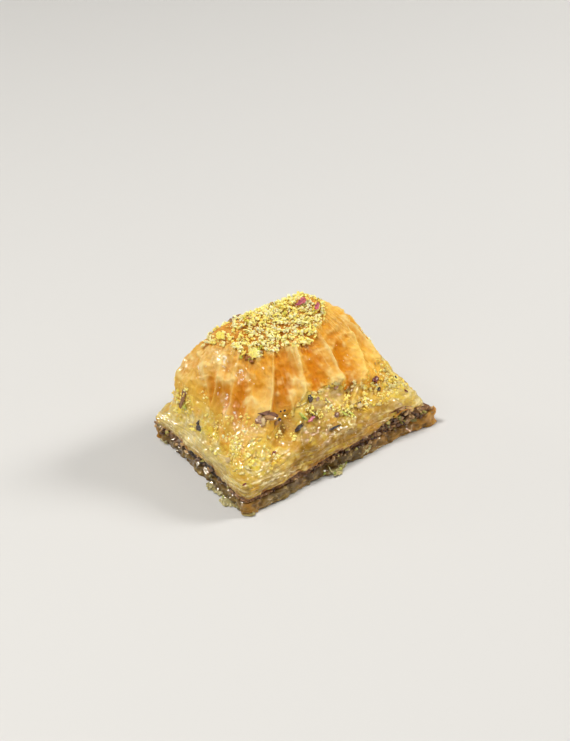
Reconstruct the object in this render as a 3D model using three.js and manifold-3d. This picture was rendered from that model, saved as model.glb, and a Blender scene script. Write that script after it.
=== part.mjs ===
// One piece of filo pastry with a nut filling, as it is cut from the tray: a thin stack of wet sheets
// below, a seam of chopped nuts that runs right through, and a puffed stack above it whose top sheets
// rise in pleats to a crest strewn with ground pistachio. Z is up, X runs along the long cut, and the
// origin is the middle of the underside.
import * as THREE from 'three';
import { mergeVertices } from 'three/addons/utils/BufferGeometryUtils.js';
import Module from 'manifold-3d';

const wasm = await Module();
wasm.setup();

// Driving dimensions in millimetres. Places round the piece are given as a "side": 0 is the front left
// corner, 1 the front right, 2 the back right and 3 the back left, and 0.5 is the middle of the front.
const longSide = 62;
const shortSide = 46.6;
const cutLean = 2.5;                // the back cut lies this far along X from the front one
const backLeftOut = 0.9;            // the back left corner stands out past the square cut
const cornerRound = 0.04;           // as a share of a side
const baseThick = 3.1;
const layerGap = 0.25;
const shoulder = { x: -12.5, y: 11.5, z: 33.4 };    // left end of the crest
const peak = { x: 10.5, y: 6.0, z: 36.2 };          // right end of the crest
const crestStop = 0.96;             // the last ring's share of the way to the crest
const rightTip = { x: 3.0, y: -2.2 };               // how far the lower sheets' right corner is drawn out

// Height of the seam's upper face at the four corners, and its rise between them
const seamTopCorner = [4.3, 6.3, 6.4, 5.6];
const seamTopRise = 1.5;

// The dome's slope from the rim to the crest at each corner and each middle of a side. crest is the share
// of the crest line where the slope ends, inward the shares of the way in, height the heights there.
const slopes = [
  { crest: 0.42, inward: [0, 0.13, 0.34, 0.64], height: [8.5, 12.5, 19.0, 28.0] },
  { crest: 0.70, inward: [0, 0.15, 0.33, 0.64], height: [9.5, 15.5, 22.0, 29.5] },
  { crest: 1.00, inward: [0, 0.20, 0.36, 0.61], height: [8.0, 11.5, 19.0, 27.4] },
  { crest: 1.00, inward: [-0.03, 0.06, 0.20, 0.49], height: [11.2, 15.5, 21.8, 28.8] },
  { crest: 0.85, inward: [0, 0.13, 0.29, 0.58], height: [9.0, 13.5, 21.0, 29.5] },
  { crest: 0.50, inward: [0, 0.13, 0.32, 0.62], height: [10.0, 16.0, 22.5, 30.0] },
  { crest: 0.02, inward: [0, 0.17, 0.28, 0.56], height: [8.5, 10.5, 21.0, 28.0] },
  { crest: 0.08, inward: [0, 0.13, 0.31, 0.60], height: [9.5, 14.5, 22.0, 29.5] },
];

// Pleats: the side where each ridge stands half way up, how far it turns on the way up, the depth of
// the valley that follows it, and where that valley lies on the way to the next ridge
const pleats = [
  { side: -0.03, turn: 0.35, depth: 0.4, valley: 0.5 },
  { side: 0.175, turn: 0.3, depth: 3.0, valley: 0.3 },
  { side: 0.42, turn: 0.35, depth: 1.5, valley: 0.35 },
  { side: 0.68, turn: 0.2, depth: 1.8, valley: 0.32 },
  { side: 0.93, turn: 0.95, depth: 1.5, valley: 0.35 },
  { side: 1.20, turn: 0.3, depth: 1.5, valley: 0.4 },
  { side: 1.52, turn: 0.1, depth: 1.3, valley: 0.4 },
  { side: 1.80, turn: -0.2, depth: 1.6, valley: 0.35 },
  { side: 2.06, turn: 0.2, depth: 1.5, valley: 0.4 },
  { side: 2.33, turn: 0.3, depth: 1.9, valley: 0.3 },
  { side: 2.58, turn: 0.0, depth: 1.3, valley: 0.5 },
  { side: 2.80, turn: -0.2, depth: 1.5, valley: 0.4 },
  { side: 3.04, turn: -0.3, depth: 0.8, valley: 0.5 },
  { side: 3.29, turn: -0.4, depth: 0.8, valley: 0.5 },
  { side: 3.53, turn: -0.8, depth: 1.5, valley: 0.55 },
  { side: 3.77, turn: 0.1, depth: 1.7, valley: 0.48 },
];
const pleatMiddle = 0.55;           // the share of the slope where a pleat's side is given

// How far up the slope the top sheet's lower edge lies, at each corner and each middle of a side
const sheetEdge = [0.36, 0.46, 0.29, 0.40, 0.34, 0.45, 0.38, 0.42];
const sheetLift = 0.9;              // how far that edge stands off the sheets under it
const ledgeLift = 0.38;             // the same for the sheets between it and the rim
const ledges = [0.3, 0.56, 0.8];    // where they end, as shares of the way up to the top sheet's edge

const crumbs = { count: 90, large: 1.4, small: 0.8, spacing: 1.9, rise: 0.3 };
const smallCrumb = 1.0;             // below this size a crumb has eight faces
const crumbPatch = { x: 1.0, y: 4.6, long: 18.5, wide: 8.6, turn: -0.23 };
const aroundTop = 104;              // facets round the top stack
const aroundLow = 72;               // facets round the seam and the lower stack

const clamp = (value, low, high) => Math.min(high, Math.max(low, value));
const smooth = (from, to, value) => {
  const t = clamp((value - from) / (to - from), 0, 1);
  return t * t * (3 - 2 * t);
};
const mix = (a, b, t) => a + (b - a) * t;
const bell = (value, middle, width) => Math.exp(-(((value - middle) / width) ** 2));
const wave = (a, b, c) => Math.sin(a + 1.7 * Math.sin(b)) * Math.cos(c + 0.9 * Math.sin(a));

// A repeatable stream of numbers from 0 to 1
function seeded(seed) {
  let state = seed;
  return () => {
    state = (state * 1664525 + 1013904223) % 4294967296;
    return state / 4294967296;
  };
}

// A smooth curve through four neighbouring values
function curve(a, b, c, d, t) {
  const straight = 2 * b + (c - a) * t;
  return 0.5 * (straight + (2 * a - 5 * b + 4 * c - d) * t * t + (3 * b - a - 3 * c + d) * t ** 3);
}

// A smooth closed curve through values spaced evenly round the piece
function roundValue(values, side) {
  const count = values.length;
  const place = ((((side % 4) + 4) % 4) / 4) * count;
  const first = Math.floor(place);
  const at = (step) => values[(first + step + count) % count];
  return curve(at(-1), at(0), at(1), at(2), place - first);
}

// A smooth open curve through values spaced evenly from 0 to 1
function openValue(values, share) {
  const last = values.length - 1;
  const place = clamp(share, 0, 1) * last;
  const first = Math.min(Math.floor(place), last - 1);
  const before = first > 0 ? values[first - 1] : 2 * values[0] - values[1];
  const after = first < last - 1 ? values[first + 2] : 2 * values[last] - values[last - 1];
  return curve(before, values[first], values[first + 1], after, place - first);
}

const corners = [
  new THREE.Vector2((-longSide - cutLean) / 2, -shortSide / 2),
  new THREE.Vector2((longSide - cutLean) / 2, -shortSide / 2),
  new THREE.Vector2((longSide + cutLean) / 2, shortSide / 2),
  new THREE.Vector2((-longSide + cutLean) / 2 - backLeftOut, shortSide / 2),
];

// The cut outline at a side, with its corners rounded by averaging along it
function outline(side, rounding) {
  const samples = 7;
  const point = new THREE.Vector2();
  for (let i = 0; i < samples; i += 1) {
    const place = (side + rounding * ((2 * i) / (samples - 1) - 1) + 4) % 4;
    const corner = Math.floor(place);
    point.add(corners[corner].clone().lerp(corners[(corner + 1) % 4], place - corner));
  }
  return point.divideScalar(samples);
}

// A point of the smooth dome, up the slope from the rim at share 0 to beside the crest at share 1
function domePoint(side, share) {
  const along = roundValue(slopes.map((slope) => slope.crest), side);
  const inward = [0, 1, 2, 3].map((k) => roundValue(slopes.map((slope) => slope.inward[k]), side));
  const height = [0, 1, 2, 3].map((k) => roundValue(slopes.map((slope) => slope.height[k]), side));
  inward.push(crestStop);
  height.push(mix(shoulder.z, peak.z, along));
  const rim = outline(side, cornerRound + 0.25 * share);
  const crest = new THREE.Vector2(mix(shoulder.x, peak.x, along), mix(shoulder.y, peak.y, along));
  const place = rim.lerp(crest, openValue(inward, share));
  return new THREE.Vector3(place.x, place.y, openValue(height, share));
}

// The outward direction of the smooth dome
function domeNormal(side, share) {
  const step = 0.02;
  const low = Math.max(0, share - step);
  const high = Math.min(1, share + step);
  const round = domePoint(side + step, share).sub(domePoint(side - step, share));
  const up = domePoint(side, high).sub(domePoint(side, low));
  return round.cross(up).normalize();
}

// How deep the pleats press the dome in
function pleatDepth(side, share) {
  const ridges = pleats.map((pleat) => pleat.side + pleat.turn * (share - pleatMiddle));
  const count = pleats.length;
  for (let i = 0; i < count; i += 1) {
    const next = ridges[(i + 1) % count] + (i + 1 === count ? 4 : 0);
    const from = (((side - ridges[i]) % 4) + 4) % 4;
    const width = next - ridges[i];
    if (from < width) {
      const fade = smooth(0.08, 0.38, share) * (1 - smooth(0.64, 0.95, share));
      const skew = Math.log(0.5) / Math.log(pleats[i].valley);
      return pleats[i].depth * fade * Math.sin(Math.PI * (from / width) ** skew) ** 1.2;
    }
  }
  return 0;
}

// Where the top sheet ends, hanging lower on the ridges than in the valleys
function edgeShare(side) {
  const level = roundValue(sheetEdge, side);
  return level + 0.03 * Math.sin(side * 11 * Math.PI) + 0.012 * Math.sin(side * 19 * Math.PI + 1);
}

// A point of the pleated and layered dome. step runs from 0 at the rim to 1 at the top sheet's edge
// and to 2 at the crest, and lift is how far the surface stands proud there.
function crustPoint(side, step, lift) {
  const edge = edgeShare(side);
  const wander = 0.06 * step * (1 - step) * 4 * wave(side * 5, side * 9 + step * 4, side * 7);
  const share = step < 1 ? edge * (step + wander) : mix(edge, 1, step - 1);
  const ripple = 0.15 * wave(side * 31, side * 17, share * 21) * smooth(0, 0.2, share);
  const proud = lift - pleatDepth(side, share) + ripple;
  return domePoint(side, share).addScaledVector(domeNormal(side, share), proud);
}

// The lift of the sheets: each one stands proud just above its own lower edge
function sheetSteps() {
  const steps = [{ at: 0, lift: 0 }];
  const jump = 0.03;
  for (const ledge of ledges) {
    steps.push({ at: ledge - jump, lift: 0 });
    steps.push({ at: ledge + jump, lift: ledgeLift });
  }
  steps.push({ at: 0.97, lift: 0.1 });
  steps.push({ at: 1.0, lift: sheetLift });
  const domeRings = 9;
  for (let i = 1; i <= domeRings; i += 1) {
    const t = i / domeRings;
    steps.push({ at: 1 + t, lift: mix(sheetLift, 0.3, smooth(0, 0.4, t)) * (1 - smooth(0.9, 1, t)) });
  }
  return steps;
}

// Height of the seam's lower and upper faces over a place
const seamBottom = (x, y) => baseThick + 0.12 * Math.sin(x * 0.21 + 1) + 0.1 * Math.cos(y * 0.27);
function seamTop(x, y) {
  const u = clamp(x / longSide + 0.5, 0, 1);
  const v = clamp(y / shortSide + 0.5, 0, 1);
  const front = mix(seamTopCorner[0], seamTopCorner[1], u);
  const back = mix(seamTopCorner[3], seamTopCorner[2], u);
  const across = Math.max(Math.sin(Math.PI * u), Math.sin(Math.PI * v));
  return mix(front, back, v) + seamTopRise * across + 0.15 * Math.sin(x * 0.45) * Math.cos(y * 0.4);
}

// A point on a layer's cut side, moved out from the outline, with the right corner drawn out
function cutPoint(side, out, tip, z) {
  const place = outline(side, cornerRound);
  const ahead = outline(side + 0.01, cornerRound).sub(outline(side - 0.01, cornerRound)).normalize();
  const drawn = tip * bell(side, 1, 0.09);
  const x = place.x + ahead.y * out + rightTip.x * drawn;
  const y = place.y - ahead.x * out + rightTip.y * drawn;
  return new THREE.Vector3(x, y, typeof z === 'function' ? z(x, y) : z);
}

// A closed solid from rings of points, from the middle of its underside up to the middle of its top
function loft(rings, lowMiddle, highMiddle) {
  const count = rings[0].length;
  const points = [lowMiddle, ...rings.flat(), highMiddle];
  const index = [];
  const at = (ring, place) => 1 + ring * count + (place % count);
  for (let j = 0; j < count; j += 1) {
    index.push(0, at(0, j + 1), at(0, j));
    for (let i = 0; i < rings.length - 1; i += 1) {
      index.push(at(i, j), at(i, j + 1), at(i + 1, j + 1));
      index.push(at(i, j), at(i + 1, j + 1), at(i + 1, j));
    }
    index.push(points.length - 1, at(rings.length - 1, j), at(rings.length - 1, j + 1));
  }
  const geometry = new THREE.BufferGeometry().setFromPoints(points);
  geometry.setIndex(index);
  return geometry;
}

// One ring of points, from a function of the side
const ring = (count, point) => Array.from({ length: count }, (_, i) => point((i * 4) / count));

// Rings that close a layer's face over its cut outline, listed from the edge inward
function faceRings(count, height, tip, inset) {
  const shares = [0.93, 0.6, 0.25];
  return shares.map((share) => ring(count, (side) => {
    const edge = cutPoint(side, -inset, tip, 0);
    const x = edge.x * share;
    const y = edge.y * share;
    return new THREE.Vector3(x, y, height(x, y));
  }));
}

// The lower sheets: a flat wet stack with ragged sheet edges and two torn tongues at its foot
function baseSheets() {
  const top = (x, y) => seamBottom(x, y) - layerGap;
  const flat = () => 0;
  const tongues = [
    { side: 3.83, width: 0.05, out: 2.2 },
    { side: 3.66, width: 0.06, out: 1.4 },
    { side: 0.47, width: 0.03, out: 4.8 },
  ];
  const ragged = (side, level) => 0.35 * wave(side * 19, side * 43 + level * 2, side * 71 + level * 5);
  const foot = (side) => tongues.reduce((sum, t) => sum + t.out * bell(side, t.side, t.width), 0);
  const sheets = [
    { z: 0.0, out: -0.3, spread: 0.9 },
    { z: 0.35, out: 0.3, spread: 1.0 },
    { z: 0.75, out: 0.25, spread: 0.8 },
    { z: 1.0, out: -0.25, spread: 0 },
    { z: 1.7, out: 0.2, spread: 0 },
    { z: 2.1, out: -0.2, spread: 0 },
    { z: 2.5, out: 0.25, spread: 0 },
  ];
  const wall = sheets.map((sheet, level) => ring(aroundLow, (side) => {
    const out = sheet.out + ragged(side, level) + sheet.spread * foot(side);
    return cutPoint(side, out, 1, sheet.z);
  }));
  const low = faceRings(aroundLow, flat, 1, 0.5).reverse();
  const high = faceRings(aroundLow, top, 1, 0.4);
  const edge = ring(aroundLow, (side) => cutPoint(side, -0.1, 1, top));
  const middleTop = new THREE.Vector3(0, 0, top(0, 0));
  return loft([...low, ...wall, edge, ...high], new THREE.Vector3(0, 0, 0), middleTop);
}

// The seam of chopped nuts in syrup, lumpy where the cuts lay it open
function nutFilling() {
  const low = (x, y) => seamBottom(x, y);
  const high = (x, y) => seamTop(x, y) - layerGap;
  const levels = [0.12, 0.38, 0.64, 0.88];
  const wall = levels.map((level, i) => ring(aroundLow, (side) => {
    const lump = wave(side * 34 + i * 1.9, side * 57 + i, side * 83 + i * 2.6);
    const out = -0.55 + 0.75 * lump * Math.sin(Math.PI * level);
    return cutPoint(side, out, 0.75, (x, y) => mix(low(x, y), high(x, y), level));
  }));
  const under = faceRings(aroundLow, low, 0.75, 0.9).reverse();
  const over = faceRings(aroundLow, high, 0.75, 0.9);
  const lowEdge = ring(aroundLow, (side) => cutPoint(side, -0.8, 0.75, low));
  const highEdge = ring(aroundLow, (side) => cutPoint(side, -0.8, 0.75, high));
  const middleLow = new THREE.Vector3(0, 0, low(0, 0));
  const middleHigh = new THREE.Vector3(0, 0, high(0, 0));
  return loft([...under, lowEdge, ...wall, highEdge, ...over], middleLow, middleHigh);
}

// The upper stack: a cut wall of sheet edges, ledges where sheets end, and the pleated dome
function puffedSheets() {
  const wallLevels = [
    { share: 0.0, out: -0.35 },
    { share: 0.3, out: 0.15 },
    { share: 0.52, out: -0.2 },
    { share: 0.8, out: 0.15 },
  ];
  const wall = wallLevels.map((level, i) => ring(aroundTop, (side) => {
    const rim = crustPoint(side, 0, 0);
    const foot = cutPoint(side, 0, 0.2, 0);
    const ragged = 0.16 * wave(side * 23 + i, side * 47, side * 61 + i * 3);
    const x = mix(foot.x, rim.x, level.share);
    const y = mix(foot.y, rim.y, level.share);
    const out = new THREE.Vector2(x, y).setLength(level.out + ragged);
    const low = seamTop(x, y);
    return new THREE.Vector3(x + out.x, y + out.y, mix(low, rim.z, level.share));
  }));
  const dome = sheetSteps().map((step) => ring(aroundTop, (side) => crustPoint(side, step.at, step.lift)));
  const under = faceRings(aroundTop, seamTop, 0.2, 0.6).reverse();
  const middleLow = new THREE.Vector3(0, 0, seamTop(0, 0));
  const middleHigh = new THREE.Vector3(shoulder.x, shoulder.y, shoulder.z);
  middleHigh.lerp(new THREE.Vector3(peak.x, peak.y, peak.z), 0.5);
  middleHigh.z += 0.4;
  return loft([...under, ...wall, ...dome], middleLow, middleHigh);
}

// A small solid with every corner pushed in or out a little
function crumb(size, flatness, random) {
  const Shape = size < smallCrumb ? THREE.OctahedronGeometry : THREE.IcosahedronGeometry;
  const geometry = new Shape(size, 0);
  geometry.deleteAttribute('normal');
  geometry.deleteAttribute('uv');
  const merged = mergeVertices(geometry);
  const position = merged.getAttribute('position');
  const point = new THREE.Vector3();
  for (let i = 0; i < position.count; i += 1) {
    point.fromBufferAttribute(position, i).multiplyScalar(mix(0.75, 1.2, random()));
    position.setXYZ(i, point.x, point.y, point.z * flatness);
  }
  return merged;
}

// Ground pistachio, strewn over the crest and thinning out towards the edge of its patch
function crumbSolids() {
  const random = seeded(41);
  const placed = [];
  const solids = [];
  for (let attempt = 0; attempt < 6000 && placed.length < crumbs.count; attempt += 1) {
    const side = 4 * random();
    const place = crustPoint(side, mix(1.35, 2, random()), crumbs.rise);
    const dx = place.x - crumbPatch.x;
    const dy = place.y - crumbPatch.y;
    const u = (dx * Math.cos(crumbPatch.turn) + dy * Math.sin(crumbPatch.turn)) / crumbPatch.long;
    const v = (dy * Math.cos(crumbPatch.turn) - dx * Math.sin(crumbPatch.turn)) / crumbPatch.wide;
    const clear = placed.every((other) => other.distanceTo(place) > crumbs.spacing);
    if (Math.hypot(u, v) < mix(0.75, 1.05, random()) && clear) {
      placed.push(place);
      const size = mix(crumbs.small, crumbs.large, random() ** 2);
      const grain = crumb(size, 0.8, random);
      grain.rotateZ(6.28 * random());
      grain.translate(place.x, place.y, place.z);
      solids.push(solidOf(grain));
    }
  }
  return solids;
}

// The larger bits that lie on the slopes: side, share of the slope, length, width and turn of each
const flakes = [
  { side: 3.26, share: 0.40, long: 5.6, wide: 1.8, turn: 1.5 },
  { side: 3.505, share: 0.24, long: 3.2, wide: 1.9, turn: 0.4 },
  { side: 0.145, share: 0.47, long: 5.0, wide: 2.8, turn: -0.5 },
  { side: 0.425, share: 0.43, long: 3.0, wide: 2.2, turn: 0.9 },
  { side: 0.32, share: 0.28, long: 3.0, wide: 1.4, turn: 0.2 },
  { side: 0.40, share: 0.28, long: 2.4, wide: 1.4, turn: 0.1 },
  { side: 0.905, share: 0.38, long: 2.6, wide: 1.8, turn: 0.1 },
  { side: 3.835, share: 0.18, long: 2.2, wide: 1.8, turn: 0.3 },
  { side: 0.60, share: 0.19, long: 2.8, wide: 1.6, turn: -0.4 },
  { side: 0.12, share: 0.30, long: 2.0, wide: 1.6, turn: 0.7 },
  { side: 1.45, share: 0.35, long: 3.0, wide: 2.0, turn: 0.3 },
  { side: 2.30, share: 0.40, long: 3.4, wide: 2.2, turn: -0.7 },
  { side: 2.70, share: 0.28, long: 2.8, wide: 1.8, turn: 0.6 },
];
const flakeThick = 0.9;

function flakeSolids() {
  const random = seeded(7);
  return flakes.map((flake) => {
    const grain = crumb(smallCrumb, 1, random);
    grain.scale(flake.long / 2, flake.wide / 2, flakeThick);
    grain.rotateZ(flake.turn);
    const normal = domeNormal(flake.side, flake.share);
    grain.applyQuaternion(new THREE.Quaternion().setFromUnitVectors(new THREE.Vector3(0, 0, 1), normal));
    const depth = pleatDepth(flake.side, flake.share);
    const place = domePoint(flake.side, flake.share).addScaledVector(normal, 0.35 - depth);
    grain.translate(place.x, place.y, place.z);
    return solidOf(grain);
  });
}

function solidOf(geometry) {
  const vertProperties = new Float32Array(geometry.getAttribute('position').array);
  const triVerts = new Uint32Array(geometry.index.array);
  return new wasm.Manifold(new wasm.Mesh({ numProp: 3, vertProperties, triVerts }));
}

function geometryOf(solid) {
  const mesh = solid.getMesh();
  const geometry = new THREE.BufferGeometry();
  geometry.setAttribute('position', new THREE.BufferAttribute(mesh.vertProperties, 3));
  geometry.setIndex(new THREE.BufferAttribute(mesh.triVerts, 1));
  return geometry;
}

// The upper stack with its crumbs and flakes joined on
function topSheets() {
  const toppings = [...crumbSolids(), ...flakeSolids()];
  const whole = toppings.reduce((sum, solid) => sum.add(solid), solidOf(puffedSheets()));
  return geometryOf(whole);
}

const finishes = {
  wetSheets: { color: 0xa8925a, roughness: 0.35, metalness: 0 },
  nutPaste: { color: 0x7a4f2b, roughness: 0.5, metalness: 0 },
  bakedSheets: { color: 0xe0a04a, roughness: 0.3, metalness: 0 },
};

function named(name, geometry, finish) {
  geometry.computeVertexNormals();
  const mesh = new THREE.Mesh(geometry, new THREE.MeshStandardMaterial(finish));
  mesh.name = name;
  return mesh;
}

const pastry = new THREE.Group();
pastry.name = 'nut_pastry_piece';
pastry.add(named('base_sheets', baseSheets(), finishes.wetSheets));
pastry.add(named('nut_filling', nutFilling(), finishes.nutPaste));
pastry.add(named('top_sheets', topSheets(), finishes.bakedSheets));

export default pastry;
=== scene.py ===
import math

import bpy
import numpy as np
from mathutils import Matrix, Vector


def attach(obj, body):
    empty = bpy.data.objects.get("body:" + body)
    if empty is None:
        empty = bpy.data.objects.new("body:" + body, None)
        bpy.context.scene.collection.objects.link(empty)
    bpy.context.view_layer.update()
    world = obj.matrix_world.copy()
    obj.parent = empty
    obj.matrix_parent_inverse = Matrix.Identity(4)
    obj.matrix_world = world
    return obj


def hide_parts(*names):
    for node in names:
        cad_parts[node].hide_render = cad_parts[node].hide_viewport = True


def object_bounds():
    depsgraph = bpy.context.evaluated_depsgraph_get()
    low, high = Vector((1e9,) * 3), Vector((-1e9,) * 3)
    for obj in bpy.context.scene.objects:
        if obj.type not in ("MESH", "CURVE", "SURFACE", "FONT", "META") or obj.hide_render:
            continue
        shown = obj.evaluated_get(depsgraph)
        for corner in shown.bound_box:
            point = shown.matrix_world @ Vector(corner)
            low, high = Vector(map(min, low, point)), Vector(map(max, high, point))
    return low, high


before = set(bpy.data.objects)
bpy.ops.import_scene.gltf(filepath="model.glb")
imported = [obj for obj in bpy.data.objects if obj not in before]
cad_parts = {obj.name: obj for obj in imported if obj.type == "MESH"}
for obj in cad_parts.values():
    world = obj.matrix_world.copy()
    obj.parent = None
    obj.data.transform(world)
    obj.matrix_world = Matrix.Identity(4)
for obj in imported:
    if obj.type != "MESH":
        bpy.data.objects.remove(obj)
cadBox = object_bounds()
mm = 0.001

# One piece of baklava, in mm. Places round it are a "side": 0 front left corner, 1 front right, 2 back
# right, 3 back left, 0.5 the middle of the front cut. A "share" runs from 0 at the rim to 1 at the crest.
form = {
    "long": 62.0, "short": 46.6, "lean": 2.5, "backLeftOut": 0.9, "cornerRound": 0.04,
    "shoulder": (-12.5, 11.5, 33.4), "peak": (10.5, 6.0, 36.2), "crestStop": 0.96,
    "rightTip": (3.0, -2.2), "layerGap": 0.25, "baseThick": 3.1,
    "seamTopCorner": (4.3, 6.3, 6.4, 5.6), "seamTopRise": 1.5,
}
# where each slope ends on the crest, its shares of the way in, and its heights, every half side
slopes = [
    (0.42, (0, 0.13, 0.34, 0.64), (8.5, 12.5, 19.0, 28.0)),
    (0.70, (0, 0.15, 0.33, 0.64), (9.5, 15.5, 22.0, 29.5)),
    (1.00, (0, 0.20, 0.36, 0.61), (8.0, 11.5, 19.0, 27.4)),
    (1.00, (-0.03, 0.06, 0.20, 0.49), (11.2, 15.5, 21.8, 28.8)),
    (0.85, (0, 0.13, 0.29, 0.58), (9.0, 13.5, 21.0, 29.5)),
    (0.50, (0, 0.13, 0.32, 0.62), (10.0, 16.0, 22.5, 30.0)),
    (0.02, (0, 0.17, 0.28, 0.56), (8.5, 10.5, 21.0, 28.0)),
    (0.08, (0, 0.13, 0.31, 0.60), (9.5, 14.5, 22.0, 29.5)),
]
# ridge side, turn on the way up, depth of the valley after it, and where that valley lies
pleats = [
    (-0.04, 0.25, 0.4, 0.5), (0.175, 0.3, 3.0, 0.3), (0.42, 0.35, 1.5, 0.35), (0.68, 0.2, 1.8, 0.32),
    (0.93, 0.95, 1.5, 0.35), (1.20, 0.3, 1.5, 0.4), (1.52, 0.1, 1.3, 0.4), (1.80, -0.2, 1.6, 0.35),
    (2.06, 0.2, 1.5, 0.4), (2.33, 0.3, 1.9, 0.3), (2.58, 0.0, 1.3, 0.5), (2.80, -0.2, 1.5, 0.4),
    (3.04, -0.3, 0.8, 0.5), (3.29, -0.4, 0.8, 0.5), (3.47, -0.8, 1.2, 0.55), (3.57, 0.1, 1.25, 0.45),
    (3.76, 0.1, 1.35, 0.5),
]
pleatMiddle = 0.55  # the share at which a ridge stands at its own side
pleatLook = {
    "sharpness": 1.05, "valleys": 0.6, "frontFold": 0.4,
    # where the pleats are sharply folded: side, spread, how much
    "crisp": ((0.5, 0.8, 1.3), (2.2, 0.6, 0.8)),
}
# the share at which the top sheet ends, every half side
sheetEdge = (0.36, 0.46, 0.29, 0.40, 0.34, 0.45, 0.38, 0.42)


def smooth(low, high, value):
    # an eased step from 0 at low to 1 at high
    t = np.clip((value - low) / (high - low), 0, 1)
    return t * t * (3 - 2 * t)


def mix(a, b, t):
    return a + (b - a) * t


def bell(value, middle, width):
    return np.exp(-(((value - middle) / width) ** 2))


def roundBell(side, middle, width):
    return np.exp(-((np.mod(side - middle + 2, 4) - 2) / width) ** 2)


def bellsAt(side, bells):
    # bells round the piece, added up: side, spread, how much
    return sum(amount * roundBell(side, at, width) for at, width, amount in bells)


def zonesAt(side, share, zones):
    # spots on the surface, added up: side, share, spread of both, how much
    return sum(v * roundBell(side, a, w) * bell(share, h, t) for a, h, w, t, v in zones)


def lattice(i, j, k, seed):
    # a repeatable number from -1 to 1 for every whole place
    h = (i * 374761393 + j * 668265263 + k * 1440662683 + seed * 974634777) & 0xFFFFFFFF
    h = ((h ^ (h >> 13)) * 1274126177) & 0xFFFFFFFF
    return ((h ^ (h >> 16)) & 0xFFFF) / 32767.5 - 1


def softNoise(x, y, z, seed=0):
    x, y, z = np.broadcast_arrays(np.asarray(x, float), y, z)
    cell = [np.floor(v).astype(np.int64) for v in (x, y, z)]
    part = [v - c for v, c in zip((x, y, z), cell)]
    part = [p * p * (3 - 2 * p) for p in part]
    total = 0
    for corner in range(8):
        step = (corner & 1, corner >> 1 & 1, corner >> 2)
        weight = 1
        for p, s in zip(part, step):
            weight = weight * (p if s else 1 - p)
        total = total + weight * lattice(cell[0] + step[0], cell[1] + step[1], cell[2] + step[2], seed)
    return total


def roundNoise(side, cycles, row, seed):
    # noise round the piece, the same where the side comes back to its start
    turn = np.asarray(side) * math.pi / 2
    radius = cycles / (2 * math.pi)
    return softNoise(radius * np.cos(turn) + 40, radius * np.sin(turn) + 40, row, seed)


def roundNoises(side, *waves):
    # such noises added up: how much, cycles, row, seed
    return sum(amount * roundNoise(side, cycles, row, seed) for amount, cycles, row, seed in waves)


def blobs(point, size, seed):
    # noise in space with blobs of about this many mm
    return softNoise(point[..., 0] / size, point[..., 1] / size, point[..., 2] / size, seed)


def creases(value, width):
    # soft noise turned into narrow raised lines
    return np.clip(1 - np.abs(value) / width, 0, 1) ** 2


def bend(a, b, c, d, t):
    # a smooth curve from b to c, with the values before and after them
    straight = 2 * b + (c - a) * t
    return 0.5 * (straight + (2 * a - 5 * b + 4 * c - d) * t * t + (3 * b - a - 3 * c + d) * t ** 3)


def roundValue(values, side):
    # a smooth curve through values spaced evenly round the piece
    values = np.asarray(values, float)
    count = len(values)
    place = np.mod(side, 4) / 4 * count
    first = np.floor(place).astype(int)
    a, b, c, d = (values[(first + step) % count] for step in (-1, 0, 1, 2))
    return bend(a, b, c, d, place - first)


def openValue(rows, share):
    # a smooth curve through rows of values spaced evenly from share 0 to 1
    rows = np.stack(rows)
    rows = np.concatenate([2 * rows[:1] - rows[1:2], rows, 2 * rows[-1:] - rows[-2:-1]])
    last = len(rows) - 3
    place = np.clip(share, 0, 1) * last
    first = np.minimum(np.floor(place).astype(int), last - 1)
    a, b, c, d = (np.take_along_axis(rows, (first + step)[None], 0)[0] for step in range(4))
    return bend(a, b, c, d, place - first)


def outline(side, rounding):
    # the cut outline seen from above, averaged over a stretch of it to round the corners
    half, depth, lean = form["long"] / 2, form["short"] / 2, form["lean"] / 2
    corners = np.array([
        (-half - lean, -depth), (half - lean, -depth), (half + lean, depth),
        (-half + lean - form["backLeftOut"], depth),
    ])
    samples = 7
    total = 0
    for i in range(samples):
        place = np.mod(side + rounding * (2 * i / (samples - 1) - 1), 4)
        corner = np.floor(place).astype(int) % 4
        t = (place - np.floor(place))[..., None]
        total = total + mix(corners[corner], corners[(corner + 1) % 4], t)
    return total / samples


def domePoint(side, share):
    # the broad form of the slopes, without pleats
    side, share = np.broadcast_arrays(np.asarray(side, float), share)
    along = roundValue([s[0] for s in slopes], side)
    inward = [roundValue([s[1][k] for s in slopes], side) for k in range(4)]
    height = [roundValue([s[2][k] for s in slopes], side) for k in range(4)]
    start, end = np.array(form["shoulder"]), np.array(form["peak"])
    crest = mix(start, end, along[..., None])
    inward.append(np.full(side.shape, form["crestStop"]))
    height.append(crest[..., 2])
    rim = outline(side, form["cornerRound"] + 0.25 * share)
    place = mix(rim, crest[..., :2], openValue(inward, share)[..., None])
    return np.concatenate([place, openValue(height, share)[..., None]], -1)


def domeNormal(side, share):
    step = 0.02
    around = domePoint(side + step, share) - domePoint(side - step, share)
    up = domePoint(side, np.minimum(1, share + step)) - domePoint(side, np.maximum(0, share - step))
    normal = np.cross(around, up)
    return normal / np.linalg.norm(normal, axis=-1, keepdims=True)


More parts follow.
